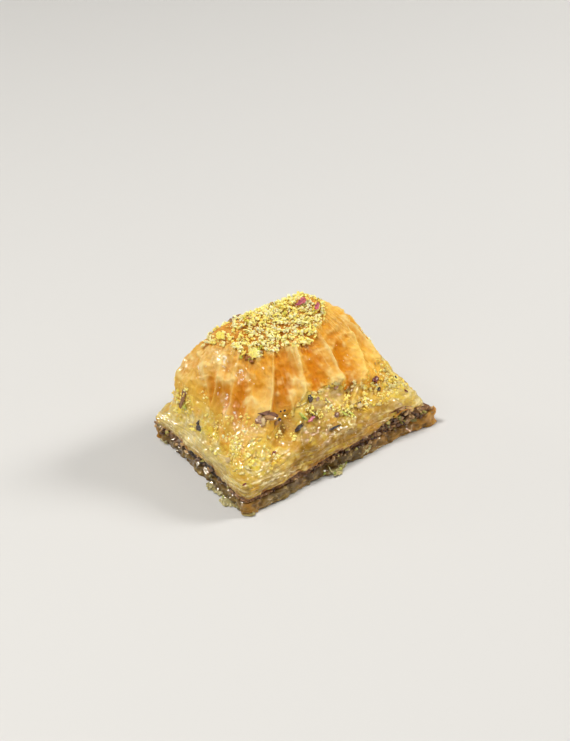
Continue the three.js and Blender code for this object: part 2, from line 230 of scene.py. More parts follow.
def pleatShape(side, share):
    # depth of the valleys between the ridges in mm, how near a ridge's top is, and the light painted on the
    # rise up to it
    side, share = np.broadcast_arrays(np.asarray(side, float), share)
    depth, crest, rise = np.zeros(side.shape), np.zeros(side.shape), np.zeros(side.shape)
    fade = smooth(0.08, 0.38, share) * (1 - smooth(0.64, 0.95, share))
    crisp = smooth(0.36, 0.58, share)
    for i, (at, turn, deep, valley) in enumerate(pleats):
        after = pleats[(i + 1) % len(pleats)]
        ridge = at + turn * (share - pleatMiddle)
        width = after[0] + after[1] * (share - pleatMiddle) + (4 if i + 1 == len(pleats) else 0) - ridge
        away = np.mod(side - ridge, 4)
        part = np.clip(away / width, 0, 1)
        skew = math.log(0.5) / np.log(mix(0.5, valley, crisp))
        hollow = np.sin(math.pi * part ** skew) ** pleatLook["sharpness"]
        bright = smooth(0.35, 0.88, part) * (1 - smooth(0.95, 1.0, part)) * min(1, 0.5 + 0.35 * after[2])
        inside = away < width
        depth = np.where(inside, deep * fade * hollow, depth)
        rise = np.where(inside, bright * fade, rise)
        line = min(1, 0.35 + 0.4 * deep) * roundBell(side, ridge, 0.014)
        crest = np.maximum(crest, line * fade * crisp)
    return depth, crest, rise


def edgeShare(side):
    scallop = 0.02 * np.sin(side * 11 * math.pi) + 0.012 * np.sin(side * 19 * math.pi + 1)
    return roundValue(sheetEdge, side) + scallop


def crispAt(side):
    # 1 where the pleats are sharply folded, 0 where they are broad and soft
    return np.clip(bellsAt(side, pleatLook["crisp"]), 0, 1)


def valleyAt(side, share):
    # the pleats of the finished surface, where they wander a little
    crisp = crispAt(side)
    wander = roundNoises(side, (mix(0.08, 0.035, crisp), 9, share * 2.5, 1), (0.012, 28, share * 7, 2))
    wander = wander * smooth(0.1, 0.4, share) * (1 - smooth(0.8, 1, share))
    valley, crest, rise = pleatShape(side + wander, share)
    valley = valley * pleatLook["valleys"] * (1 + pleatLook["frontFold"] * roundBell(side, 0.25, 0.09))
    valley = valley * np.clip(0.95 + 0.8 * roundNoise(side, 14, share * 4, 3), 0.4, 1.4)
    # the soft pleats end lower down than the crisp ones
    soft = 1.25 * (1 - smooth(0.57, 0.66, share + 0.05 * roundNoise(side, 9, 0.3, 6)))
    return valley * mix(soft, 1, crisp), crest * crisp, rise * mix(0.3, 1, crisp)


def seamBottom(x, y):
    # the level at which the nuts lie on the lower sheets
    return form["baseThick"] + 0.12 * np.sin(x * 0.21 + 1) + 0.1 * np.cos(y * 0.27)


def seamTop(x, y):
    # the level at which the upper sheets lie on the nuts
    u = np.clip(x / form["long"] + 0.5, 0, 1)
    v = np.clip(y / form["short"] + 0.5, 0, 1)
    a, b, c, d = form["seamTopCorner"]
    across = np.maximum(np.sin(math.pi * u), np.sin(math.pi * v))
    level = mix(mix(a, b, u), mix(d, c, u), v)
    return level + form["seamTopRise"] * across + 0.15 * np.sin(x * 0.45) * np.cos(y * 0.4)


def cutPoint(side, out, tip):
    # a place on the cut sides pushed out by some mm, with a share of the right corner's drawn-out tip
    place = outline(side, form["cornerRound"])
    ahead = outline(side + 0.01, form["cornerRound"]) - outline(side - 0.01, form["cornerRound"])
    ahead = ahead / np.linalg.norm(ahead, axis=-1, keepdims=True)
    drawn = tip * bell(side, 1, 0.09)
    x = place[..., 0] + ahead[..., 1] * out + form["rightTip"][0] * drawn
    y = place[..., 1] - ahead[..., 0] * out + form["rightTip"][1] * drawn
    return x, y


def deselectAll():
    if bpy.context.mode != "OBJECT":
        bpy.ops.object.mode_set(mode="OBJECT")
    bpy.ops.object.select_all(action="DESELECT")


def wrapSheet(name, points, tones):
    # a grid wrapped round the piece, its two ends drawn to a point and its seam welded
    rows, columns = points.shape[0] - 1, points.shape[1]
    deselectAll()
    bpy.ops.mesh.primitive_grid_add(x_subdivisions=columns, y_subdivisions=rows, size=1)
    sheet = bpy.context.object
    sheet.name = name
    flat = np.zeros(len(sheet.data.vertices) * 3)
    sheet.data.vertices.foreach_get("co", flat)
    flat = flat.reshape(-1, 3) + 0.5
    column = np.rint(flat[:, 0] * columns).astype(int) % columns
    row = np.rint(flat[:, 1] * rows).astype(int)
    sheet.data.vertices.foreach_set("co", (points[row, column] * mm).ravel())
    for label, values in tones.items():
        layer = sheet.data.attributes.new(label, "FLOAT", "POINT")
        layer.data.foreach_set("value", values[row, column].astype(np.float32))
    bpy.ops.object.mode_set(mode="EDIT")
    bpy.ops.mesh.select_all(action="SELECT")
    bpy.ops.mesh.remove_doubles(threshold=1e-7)
    bpy.ops.mesh.normals_make_consistent(inside=False)
    bpy.ops.object.mode_set(mode="OBJECT")
    bpy.ops.object.shade_smooth()
    return sheet


class Rings:
    # rings of points gathered from the bottom to the top, with their tones
    def __init__(self, count, labels):
        self.count = count
        self.points = []
        self.tones = {label: [] for label in labels}

    def add(self, points, **tones):
        self.points.append(np.broadcast_to(points, (self.count, 3)))
        for label, values in self.tones.items():
            values.append(np.broadcast_to(tones.get(label, 0.0), (self.count,)))

    def close(self, x, y, level, reaches, **tones):
        # the hidden bottom or top of a shell, drawn in towards its middle
        for reach in reaches:
            height = level(x * reach, y * reach)
            self.add(np.stack([x * reach, y * reach, height + 0 * x], -1), **tones)

    def wrap(self, name):
        tones = {label: np.array(values) for label, values in self.tones.items()}
        return wrapSheet(name, np.array(self.points), tones)


# Swells and hollows: side, share, spread of side and share, height in mm
swells = (
    (3.45, 0.62, 0.07, 0.06, 0.7), (3.70, 0.64, 0.08, 0.045, 0.8), (3.90, 0.66, 0.05, 0.05, 0.4),
    (3.745, 0.555, 0.06, 0.05, -1.0), (3.47, 0.53, 0.06, 0.04, -0.5), (0.05, 0.54, 0.08, 0.06, 0.6),
    (0.345, 0.50, 0.07, 0.05, 0.7), (0.67, 0.48, 0.05, 0.04, 0.6), (0.82, 0.455, 0.05, 0.045, 0.5),
    (0.665, 0.36, 0.06, 0.05, -0.7), (0.02, 0.30, 0.13, 0.13, 0.9), (0.25, 0.24, 0.05, 0.14, -0.15),
    (0.35, 0.15, 0.045, 0.06, 0.7), (0.40, 0.06, 0.045, 0.06, 1.1), (0.28, -0.05, 0.05, 0.07, -1.2),
    (0.46, 0.36, 0.05, 0.04, 0.6), (0.57, 0.05, 0.08, 0.05, 0.6), (0.72, 0.12, 0.07, 0.06, 0.6),
    (0.88, 0.2, 0.05, 0.06, 0.5), (1.0, 0.3, 0.07, 0.1, 0.5), (1.4, 0.5, 0.1, 0.08, 0.6),
    (1.9, 0.5, 0.12, 0.07, 0.6), (2.4, 0.5, 0.12, 0.08, 0.6), (2.9, 0.52, 0.1, 0.08, 0.5),
    (3.2, 0.3, 0.1, 0.1, 0.4), (3.55, 0.1, 0.08, 0.07, 0.5), (3.8, 0.12, 0.08, 0.07, 0.4),
)


# The baked top sheet, from its ragged lower edge to the crest
crownSize = {
    "columns": 800, "rows": 118, "sheet": 0.25, "ridge": 0.3, "fold": 0.17, "wrinkle": 0.15,
    "crumple": 0.195, "dimples": 0.208, "curlReach": 0.04, "curl": 0.05, "tuck": 0.4, "mergeReach": 0.14,
    "hollow": 18,
    # the fold under the lower edge: share further up, mm under the surface
    "lip": ((0.10, 2.2), (0.04, 1.1), (0.006, 0.4), (0.0, 0.2)),
    # where the lower edge stands free and doesn't cling to the slope: side, spread, how much
    "loose": ((0.62, 0.3, 1.1), (2.0, 0.5, 0.7)),
    # where the torn edge lifts off: side, spread, how far in mm
    "curls": (
        (0.40, 0.03, 0.3), (0.70, 0.02, 0.2), (1.22, 0.07, 0.4), (1.6, 0.08, 0.5), (1.95, 0.06, 0.4),
        (2.4, 0.08, 0.5), (2.75, 0.06, 0.4),
    ),
    # where it is palest: side, share, spread of both, how pale
    "palest": (
        (3.5, 0.76, 0.3, 0.12, 0.5), (3.05, 0.5, 0.2, 0.2, 0.5), (0.07, 0.52, 0.09, 0.16, 0.2),
        (0.92, 0.55, 0.1, 0.15, 0.2), (1.15, 0.6, 0.12, 0.2, 0.25),
    ),
    # where the film is broken into sparkles: side, share, spread of both, how much
    "sparkles": (
        (3.56, 0.77, 0.06, 0.05, 1.0), (3.665, 0.74, 0.06, 0.05, 1.0), (3.86, 0.71, 0.06, 0.06, 1.0),
        (3.4, 0.60, 0.08, 0.08, 0.6), (0.60, 0.72, 0.08, 0.05, 0.5), (3.75, 0.5, 0.2, 0.1, 0.5),
        (3.98, 0.42, 0.14, 0.05, 0.9), (3.1, 0.6, 0.1, 0.1, 0.5), (1.9, 0.65, 0.1, 0.06, 0.6),
        (2.6, 0.6, 0.1, 0.06, 0.6),
    ),
}


def looseEdge(side):
    return np.clip(bellsAt(side, crownSize["loose"]), 0, 1)


def crownShape(side, share, away):
    # away is the share above the sheet's own edge, where it stands off and curls
    size = crownSize
    point, normal = domePoint(side, share), domeNormal(side, share)
    valley, crest, rise = valleyAt(side, share)
    crisp, swell = crispAt(side), zonesAt(side, share, swells)
    near = np.exp(-np.maximum(away, 0) / size["curlReach"])
    curl = (size["curl"] + bellsAt(side, size["curls"])) * (0.8 + 0.8 * roundNoise(side, 40, 0.4, 4)) * near
    curl = curl - size["tuck"] * (1 - 0.5 * looseEdge(side)) * near
    calm = (1 - 0.5 * smooth(0.8, 1, share)) * (1 + 0.6 * bell(share, 0.76, 0.1))
    fold = creases(roundNoise(side, 40, share * 2.2, 11), 0.3) * mix(0.3, 1.0, crisp)
    fold = fold * (0.5 + 1.2 * roundNoise(side, 11, share * 3, 13))
    wrinkle = creases(roundNoise(side, 110, share * 6, 12), 0.4) * mix(0.4, 1.0, crisp)
    wrinkle = wrinkle * (0.5 + 1.2 * blobs(point, 5, 14))
    crumple = creases(blobs(point, 1.9, 15), 0.35) + 0.55 * creases(blobs(point, 0.9, 16), 0.35)
    dimples = blobs(point, 1.7, 20) + 0.6 * blobs(point, 0.9, 21)
    broad = 0.28 * blobs(point, 5.5, 19) + mix(0.4, 0.22, crisp) * blobs(point, 2.8, 18)
    crest = crest * np.clip(0.7 + 0.9 * roundNoise(side, 20, share * 7, 17), 0, 1.2)
    relief = size["fold"] * fold + size["wrinkle"] * wrinkle
    relief = relief + size["crumple"] * crumple + size["dimples"] * dimples
    lift = size["sheet"] * (1 - 0.8 * near) + curl + size["ridge"] * crest * (1 + crest)
    lift = lift + (relief + broad) * calm + swell - valley
    # pale: paler crest lines and baked patches, with painted light on the rise to each ridge and on raised
    # creases, dimples and swells
    pale = 0.34 * rise * (0.8 + 0.8 * broad) + crest + zonesAt(side, share, size["palest"])
    pale = pale + 0.25 * (np.maximum(fold, 0) + np.maximum(wrinkle, 0)) * calm
    pale = pale + 0.5 * np.maximum(dimples, 0) + 0.2 * np.maximum(swell, 0)
    # deep: deeper orange where syrup lies in the valleys, with painted shade in the hollows and painted
    # light on the bumps
    deep = valley - 0.6 * swell - 0.8 * broad - 0.4 * dimples
    return point, normal, lift, deep, np.clip(pale, 0, 1)


def makeCrown():
    size = crownSize
    count = size["columns"]
    side = np.arange(count) * 4 / count
    edge = edgeShare(side) + roundNoises(side, (0.024, 50, 0.5, 31), (0.018, 150, 0.5, 32))
    merge = 1 - looseEdge(side)
    middle = (np.array(form["shoulder"]) + np.array(form["peak"])) / 2
    rings = Rings(count, ("deep", "away", "pale", "heap", "merge", "sunny", "sparkle"))
    rings.add(middle - (0, 0, size["hollow"]))
    for away, drop in size["lip"]:
        point, normal, lift, deep, pale = crownShape(side, edge + away, np.full(count, away))
        rings.add(point + normal * (lift - drop)[:, None], deep=deep, away=away, pale=pale, merge=merge)
    for t in np.linspace(0, 1, size["rows"]) ** 1.1:
        share = mix(edge + 0.003, 1.0, t)
        point, normal, lift, deep, pale = crownShape(side, share, share - edge)
        rings.add(
            point + normal * lift[:, None], deep=deep, pale=pale, away=share - edge,
            # heap: painted shade on the sheet under the pistachio heap
            heap=smooth(-0.03, 0.03, share - borderShare(side)),
            merge=merge * np.exp(-(share - edge) / size["mergeReach"]),
            # sunny: painted light, a brighter yellow on the right of the top sheet
            sunny=roundBell(side, 1.0, 0.2) * bell(share, 0.5, 0.25),
            sparkle=zonesAt(side, share, size["sparkles"]),
        )
    last = rings.points[-1]
    for t in (0.35, 0.7, 1.0):
        rings.add(mix(last, middle + (0, 0, 0.5), t), away=1.0, heap=1.0)
    return rings.wrap("crownSheet")


# The sheets under it: steps where they end on the slope, and their cut edges down to the nut seam
stackSize = {
    "columns": 800, "wallRows": 42, "slopeRows": 78, "steps": 9, "wallSheets": 9, "wallDepth": 0.14,
    "stepLift": 0.16, "under": 1.07, "crumple": 0.75, "foot": 0.9, "round": 2.6, "closing": 0.62,
    "rolls": 0.2, "corners": 0.9, "hang": 0.8, "cornerHang": 0.6, "inner": (0.0, 6.0, 16.0),
    # where the seam gapes: side, spread, how far
    "gapes": (
        (0.88, 0.09, 1.0), (0.47, 0.05, 0.3), (3.28, 0.12, 0.35), (3.08, 0.05, 0.3), (3.62, 0.06, 0.2),
        (3.87, 0.04, 0.2), (1.5, 0.3, 0.6), (2.5, 0.4, 0.5),
    ),
    # where the cut edges of single sheets show: side, spread, how clearly
    "clear": ((0.09, 0.03, 0.3), (0.93, 0.1, 0.6), (3.03, 0.08, 0.5), (1.6, 0.3, 0.5), (2.3, 0.3, 0.6)),
    # where the filo lies smooth: side, share, spread of both, how smooth
    "sleek": (
        (0.25, 0.22, 0.07, 0.2, 0.4), (0.40, 0.15, 0.07, 0.12, 0.5), (0.5, 0.28, 0.06, 0.1, 0.4),
        (0.68, 0.12, 0.06, 0.08, 0.5), (0.80, 0.08, 0.05, 0.07, 0.5), (3.3, 0.02, 0.4, 0.08, 0.4),
    ),
    # where pale flecks and sparkles lie thick: side, share, spread of both, how much
    "flecks": (
        (3.9, 0.36, 0.12, 0.1, 1.0), (3.65, 0.33, 0.1, 0.08, 0.6), (0.05, 0.2, 0.12, 0.1, 0.8),
        (0.11, 0.1, 0.05, 0.06, 0.8), (0.85, 0.2, 0.08, 0.07, 0.8), (0.62, 0.25, 0.04, 0.06, 0.8),
        (0.52, 0.12, 0.16, 0.12, 0.8), (3.4, 0.25, 0.1, 0.1, 0.7), (0.95, 0.32, 0.08, 0.08, 0.6),
        (1.6, 0.25, 0.3, 0.1, 0.5), (2.5, 0.25, 0.4, 0.1, 0.5),
    ),
    # where yellow pistachio dust lies: side, share, spread of both, how thick
    "dusty": (
        (1.12, 0.3, 0.12, 0.15, 1.0), (0.93, 0.34, 0.08, 0.07, 0.9), (3.25, 0.36, 0.1, 0.1, 0.9),
        (3.87, 0.33, 0.06, 0.08, 1.0), (3.62, 0.28, 0.08, 0.07, 0.6), (0.02, 0.24, 0.1, 0.08, 0.6),
        (0.5, 0.33, 0.06, 0.06, 0.5), (0.6, 0.22, 0.05, 0.05, 0.4), (1.8, 0.3, 0.3, 0.15, 0.7),
        (2.7, 0.3, 0.3, 0.15, 0.7),
    ),
    # where it is darkest, soaked with syrup and with painted shade: side, spread, how much
    "soaked": ((0.33, 0.1, 0.9), (0.55, 0.16, 1.0), (0.78, 0.12, 0.6), (0.95, 0.08, 0.25), (1.9, 0.2, 0.5)),
    # where it is pale and milky, partly a painted wet sheen: side, spread, how much
    "milky": ((3.04, 0.16, 1.0), (3.45, 0.2, 0.8), (3.72, 0.12, 0.4), (1.05, 0.1, 0.5)),
}


def seamOpen(side):
    # 0 where the seam is drawn shut, 1 where it gapes
    wide = 0.06 + bellsAt(side, stackSize["gapes"])
    return np.clip(wide + roundNoises(side, (0.22, 22, 0.9, 68), (0.12, 60, 0.9, 69)), 0, 1)


def seamLift(side):
    # the seam stands higher near the front right corner, in mm
    return 3.0 * roundBell(side, 0.84, 0.1)


def cornerNear(side):
    return bell(np.mod(side + 0.5, 1) - 0.5, 0, 0.05)


def roughness(side, share):
    # how rough the wet filo lies
    return np.clip(1.1 - zonesAt(side, share, stackSize["sleek"]), 0.1, 1)


def clearness(side):
    # how clearly the cut edges of single sheets show
    broken = 0.6 + 0.7 * roundNoise(side, 30, 0.2, 62)
    return (0.04 + bellsAt(side, stackSize["clear"])) * broken


def stackRolls(side, height):
    # sheets cling together in a few soft rolls, one above another; also how near the fold between two is
    level = height * 3.3 + roundNoises(side, (0.6, 8, 0.4, 71), (0.25, 22, 0.4, 72))
    first = np.floor(level)
    part = level - first
    size = 0.8 + 0.6 * roundNoise(side, 14, first * 6.1, 70)
    fold = np.maximum(bell(part, 1.0, 0.1), bell(part, 0.0, 0.1))
    fold = fold * np.clip(0.5 + roundNoise(side, 18, first, 59), 0, 1)
    return size * (1 - (2 * part - 1) ** 4), fold


def cutLayers(side, height, sheets, seed):
    # how far each stacked sheet's cut edge stands out, how near the gap between two sheets is, its number
    sway = ((0.55, 9, 0.3, seed), (0.3, 34, 0.3, seed + 1), (0.3, 60, height * 4, seed + 4))
    level = height * sheets + roundNoises(side, *sway)
    first = np.floor(level)
    part = level - first

    def stand(number):
        return roundNoises(side, (1, 46, number * 7.31, seed + 2), (0.7, 150, number * 5.17, seed + 3))

    gap = np.maximum(bell(part, 1.0, 0.16), bell(part, 0.0, 0.16))
    gap = gap * np.clip(0.6 + 1.1 * roundNoise(side, 26, first * 3.3 + part, seed + 5), 0, 1)
    return mix(stand(first), stand(first + 1), smooth(0.85, 1.0, part)) - 1.1 * gap, gap, first


def sheetSteps(side, step):
    # the sheets that end one after another up the slope, each standing proud above its own torn edge
    count = stackSize["steps"]
    edges = []
    for k in range(count + 1):
        row = k * 5.3
        waves = ((0.09, 10, row, 51), (0.05, 34, row, 52), (0.025, 90, row, 55), (0.014, 200, row, 56))
        edges.append((k + 0.3) / count + roundNoises(side, *waves))
    lift, tone, edge = np.zeros(step.shape), np.zeros(step.shape), np.zeros(step.shape)
    for k in range(count):
        along = (step - edges[k]) / np.maximum(edges[k + 1] - edges[k], 0.03)
        proud = 1.3 * np.maximum(0, roundNoise(side, 18, k * 9.1, 53) - 0.02) ** 1.2
        inside = (along >= 0) & (along < 1.4)
        lift = np.where(inside, proud * np.clip(1 - along / 1.4, 0, 1) ** 0.8, lift)
        tone = np.where(inside, roundNoise(side, 16, k * 3.7, 54), tone)
        broken = np.clip(0.3 + 1.4 * roundNoise(side, 40, k * 6.1, 57), 0, 1)
        edge = np.where(inside, np.clip(proud * 1.6, 0, 1) * bell(along, 0, 0.15) * broken, edge)
    return lift, tone, edge


def crumpleAt(point, side, share):
    # soaked filo lies in small crossing creases and grains
    broad = creases(blobs(point, 2.6, 73), 0.3) * (0.6 + 1.2 * blobs(point, 6, 76))
    small = blobs(point, 1.4, 74) + 0.8 * blobs(point, 0.75, 77)
    down = creases(roundNoise(side, 60, share * 5, 75), 0.3)
    down = down * (0.5 + 1.2 * roundNoise(side, 13, share * 5, 79))
    return 0.42 * broad + 0.32 * small + 0.42 * down


def softRelief(point):
    return 0.5 * blobs(point, 5, 78) + 0.35 * blobs(point, 2.4, 80)


def eased(places, corner, reach):
    # the same rows with the bend at one of them rounded over about this many mm
    steps = np.linalg.norm(np.diff(places, axis=0), axis=-1).mean(-1)
    along = np.concatenate([[0], np.cumsum(steps)])
    width = 0.03 + reach * bell(along, along[corner], 1.8 * reach)
    weights = np.exp(-((along[:, None] - along) / width[:, None]) ** 2)
    return np.einsum("ij,jkl->ikl", weights / weights.sum(1, keepdims=True), places)


def stackPlaces(side, edge, steps):
    # the rows of the stack without its relief: up the cut wall from the seam, then up the slope
    size = stackSize
    footX, footY = cutPoint(side, 0, 0.2)
    rim = domePoint(side, np.zeros(len(side)))
    seamHeight = seamTop(footX, footY) - seamBottom(footX, footY)
    closed = 1 - seamOpen(side)
    droop = roundNoises(side, (0.25, 16, 0.7, 66), (0.2, 50, 0.7, 67)) + seamLift(side)
    droop = droop - size["closing"] * seamHeight * closed - size["cornerHang"] * roundBell(side, 0, 0.06)
    droop = droop - size["hang"] * np.maximum(0, roundNoise(side, 24, 0.6, 58)) * closed
    places = []
    for height in np.linspace(0, 1, size["wallRows"], endpoint=False):
        x, y = mix(footX, rim[:, 0], height), mix(footY, rim[:, 1], height)
        places.append(np.stack([x, y, mix(seamTop(x, y) + droop, rim[:, 2], height)], -1))
    places = places + [domePoint(side, edge * step) for step in steps]
    return eased(np.array(places), size["wallRows"], size["round"])


def makeStack():
    size = stackSize
    count = size["columns"]
    side = np.arange(count) * 4 / count
    edge = edgeShare(side)
    steps = np.linspace(0, size["under"], size["slopeRows"])
    places = stackPlaces(side, edge, steps)
    around = np.roll(places, -1, 1) - np.roll(places, 1, 1)
    normals = np.cross(around, np.gradient(places, axis=0))
    normals = normals / np.linalg.norm(normals, axis=-1, keepdims=True)
    heights = np.concatenate([np.linspace(0, 1, size["wallRows"], endpoint=False), np.ones(len(steps))])
    steps = np.concatenate([np.zeros(size["wallRows"]), steps])
    clear = clearness(side)
    soak, milky = (np.clip(bellsAt(side, size[name]), 0, 1) for name in ("soaked", "milky"))
    rings = Rings(count, ("tone", "rise", "pale", "gap", "deep", "soak", "milky", "dust", "flecks"))
    rings.close(*cutPoint(side, 0, 0.2), seamTop, (0.0, 0.3, 0.65, 0.93))
    for place, normal, height, step in zip(places, normals, heights, steps):
        share = edge * step + 0.18 * (height - 1)
        low, level = 1 - smooth(0.2, 0.6, step), np.full(count, height + 1.6 * step)
        calm = 1 - 0.75 * smooth(0.7, 0.95, step)  # it lies close under the top sheet's edge
        torn, sheetTone, tornEdge = sheetSteps(side, np.full(count, step))
        layer, gap, index = cutLayers(side, level, size["wallSheets"], 61)
        roll, fold = stackRolls(side, level)
        crumple, soft = crumpleAt(place, side, share) * calm, softRelief(place) * calm
        valley, rough = valleyAt(side, share)[0], roughness(side, share)
        swell = zonesAt(side, share, swells)
        lift = size["wallDepth"] * layer * low * clear * smooth(0, 0.06, height)
        torn = torn * smooth(0.05, 0.25, step) * (1 - 0.5 * roundBell(side, 0.35, 0.6))
        lift = lift + size["stepLift"] * torn * rough
        lift = lift + size["crumple"] * crumple * rough * mix(1, 0.75, low) + soft + swell - valley
        lift = lift + size["rolls"] * (roll - 0.6) * low - size["corners"] * cornerNear(side) * low
        lift = lift - size["foot"] * (1 - smooth(0, 0.3, height)) ** 2 - 0.35 * smooth(1.0, 1.07, step)
        rings.add(
            place + normal * lift[:, None], rise=0.35 * height + 0.65 * step, soak=soak, milky=milky,
            tone=mix(sheetTone, roundNoise(side, 20, index * 3.7, 64) * clear, low), gap=gap * low * clear,
            # deep: painted shade in the valleys, in the hollows and in the folds under the rolls
            deep=valley - swell - soft + 0.25 * fold * low, dust=zonesAt(side, share, size["dusty"]),
            # pale: pale torn sheet edges, with painted light on the raised creases
            pale=rough * np.maximum(tornEdge * smooth(0.02, 0.15, step), 0.6 * crumple),
            flecks=zonesAt(side, share, size["flecks"]),
        )
    last = rings.points[-1]
    for t in (0.3, 1.0):
        rings.add(mix(last - normals[-1] * 1.5, np.array(size["inner"]), t), rise=1)
    return rings.wrap("sheetStack")


# The soaked sheets at the bottom, with torn tongues of wet filo at their foot
baseSize = {
    "columns": 860, "rows": 44, "sheets": 6, "layers": 0.07, "closing": 0.25, "upturn": 2.3, "ragged": 0.8,
    "lump": 0.7, "upSide": (1.0, 0.045),
    # how far the tongues reach out: side, spread, mm
    "tongues": (
        (3.83, 0.05, 1.8), (3.66, 0.06, 1.2), (3.74, 0.02, 0.8), (0.47, 0.03, 2.2), (0.70, 0.02, 0.6),
        (0.0, 0.05, 0.9), (0.25, 0.08, 0.5),
    ),
    # where the base is golden: side, spread, how much
    "golden": (
        (0.02, 0.12, 0.6), (1.0, 0.14, 1.0), (3.05, 0.1, 0.7), (2.0, 0.2, 0.8), (0.3, 0.06, 0.5),
        (0.72, 0.15, 0.6),
    ),
}


def sheetsTop(x, y):
    return seamBottom(x, y) - form["layerGap"]


def makeBase():
    size = baseSize
    count = size["columns"]
    side = np.arange(count) * 4 / count
    rings = Rings(count, ("tone", "rise", "gap", "golden", "deep", "torn"))
    edgeX, edgeY = cutPoint(side, -0.5, 1)
    rings.close(edgeX, edgeY, lambda x, y: 0, (0.0, 0.4, 0.8, 0.97))
    tongue = bellsAt(side, size["tongues"])
    golden = np.clip(bellsAt(side, size["golden"]), 0, 1)
    torn = 0.5 + 0.5 * roundNoise(side, 120, 0.5, 81)
    seamHeight = seamTop(edgeX, edgeY) - seamBottom(edgeX, edgeY)
    closing = size["closing"] * seamHeight * (1 - seamOpen(side)) + 0.3 * roundNoise(side, 30, 0.2, 89)
    closing = closing + size["upturn"] * roundBell(side, *size["upSide"])
    for height in np.linspace(0, 1, size["rows"]):
        layer, gap, index = cutLayers(side, np.full(count, height), size["sheets"], 83)
        low = 1 - smooth(0.1, 0.33, height)
        ragged = roundNoises(side, (1, 24, 0.5 + height * 1.6, 86), (0.4, 90, height * 5, 88))
        ragged = size["ragged"] * (ragged - 0.2)
        place = np.stack([edgeX, edgeY, np.full(count, 3 * height)], -1)
        lump = size["lump"] * (blobs(place, 2.0, 82) + 0.6 * blobs(place, 0.9, 90))
        foot = -0.35 * (1 - smooth(0, 0.08, height)) - 0.5 * smooth(0.85, 1, height)
        out = size["layers"] * layer + lump + ragged + foot + tongue * low * (0.75 + 0.35 * torn)
        x, y = cutPoint(side, out, 1)
        z = height * (sheetsTop(x, y) + closing * smooth(0.3, 1, height))
        rings.add(
            np.stack([x, y, z], -1), tone=roundNoise(side, 20, index * 3.7, 87), rise=height, gap=0.5 * gap,
            # deep: painted shade where the edge is set in
            golden=golden, deep=-ragged - lump, torn=np.clip(tongue * low, 0, 1),
        )
    rings.close(edgeX, edgeY, sheetsTop, (0.9, 0.5, 0.0), rise=1)
    return rings.wrap("baseStack")


# The seam of chopped nuts between the stacks
seamSize = {
    "columns": 700, "rows": 36, "lump": 0.7, "inset": 0.5, "tip": 0.75,
    "shade": (3.52, 0.36),  # where shade is painted on it: side, spread
}


def nutsTop(x, y):
    return seamTop(x, y) - form["layerGap"]


def makeSeam():
    size = seamSize
    count = size["columns"]
    side = np.arange(count) * 4 / count
    rings = Rings(count, ("dim",))
    dim = roundBell(side, *size["shade"])
    edge = cutPoint(side, -1.0, size["tip"])
    rings.close(*edge, seamBottom, (0.0, 0.5, 0.9))
    for height in np.linspace(0, 1, size["rows"]):
        x, y = cutPoint(side, 0, size["tip"])
        place = np.stack([x, y, mix(seamBottom(x, y), nutsTop(x, y) + seamLift(side), height)], -1)
        lump = blobs(place, 1.4, 91) + 0.6 * blobs(place, 0.6, 92)
        arch = np.sin(math.pi * np.clip(height, 0.02, 0.98))
        x, y = cutPoint(side, size["lump"] * lump * arch - 0.5 * (1 - arch) - size["inset"], size["tip"])
        rings.add(np.stack([x, y, place[:, 2]], -1), dim=dim)
    rings.close(*edge, nutsTop, (0.9, 0.5, 0.0))
    return rings.wrap("nutSeam")


def takeShape(thing):
    # the points in mm and the faces of a shape that will be repeated
    points = np.zeros(len(thing.data.vertices) * 3)
    thing.data.vertices.foreach_get("co", points)
    faces = [tuple(face.vertices) for face in thing.data.polygons]
    bpy.data.objects.remove(thing)
    return points.reshape(-1, 3), faces


def chipShapes(count, seed, jitter, squash, detail=1):
    # angular chips about 1 across
    shapes = []
    for i in range(count):
        deselectAll()
        bpy.ops.mesh.primitive_ico_sphere_add(subdivisions=detail, radius=0.5)
        bpy.ops.object.mode_set(mode="EDIT")
        bpy.ops.mesh.select_all(action="SELECT")
        bpy.ops.transform.vertex_random(offset=jitter, uniform=0.0, normal=0.0, seed=seed + i)
        bpy.ops.transform.resize(value=squash, center_override=(0, 0, 0))
        bpy.ops.mesh.quads_convert_to_tris()
        bpy.ops.object.mode_set(mode="OBJECT")
        shapes.append(takeShape(bpy.context.object))
    return shapes


def flakeShapes(count, seed, thick, curl, crumple=0.1):
    # thin torn flakes of filo about 1 across, a little curled and crumpled
    dice = np.random.default_rng(seed)
    shapes = []
    for i in range(count):
        deselectAll()
        bpy.ops.mesh.primitive_grid_add(x_subdivisions=6, y_subdivisions=4, size=1)
        flake = bpy.context.object
        bend1, bend2, twist = dice.uniform(-curl, curl, 3)
        point1, point2 = dice.uniform(1.5, 6, 2)
        for vertex in flake.data.vertices:
            x, y = vertex.co.x, vertex.co.y
            end = point1 if x < 0 else point2
            taper = 1 - 0.85 * (2 * abs(x)) ** end
            rag = dice.uniform(-0.15, 0.15, 2)
            lift = bend1 * x * x + bend2 * y * y + twist * x * y + crumple * dice.uniform(-1, 1)
            vertex.co = Vector((x + rag[0], y * taper + rag[1], lift))
        bpy.ops.object.mode_set(mode="EDIT")
        bpy.ops.mesh.select_all(action="SELECT")
        bpy.ops.mesh.extrude_region_move(TRANSFORM_OT_translate={"value": (0, 0, -thick)})
        bpy.ops.mesh.select_all(action="SELECT")
        bpy.ops.mesh.normals_make_consistent(inside=False)
        bpy.ops.object.mode_set(mode="OBJECT")
        shapes.append(takeShape(flake))
    return shapes


def turned(axis, angle):
    # one turning matrix for each angle about x, y or z
    c, s = np.cos(angle), np.sin(angle)
    a, b = (axis + 1) % 3, (axis + 2) % 3
    turns = np.zeros((len(angle), 3, 3))
    turns[:, axis, axis] = 1
    turns[:, a, a], turns[:, b, b], turns[:, b, a], turns[:, a, b] = c, c, s, -s
    return turns


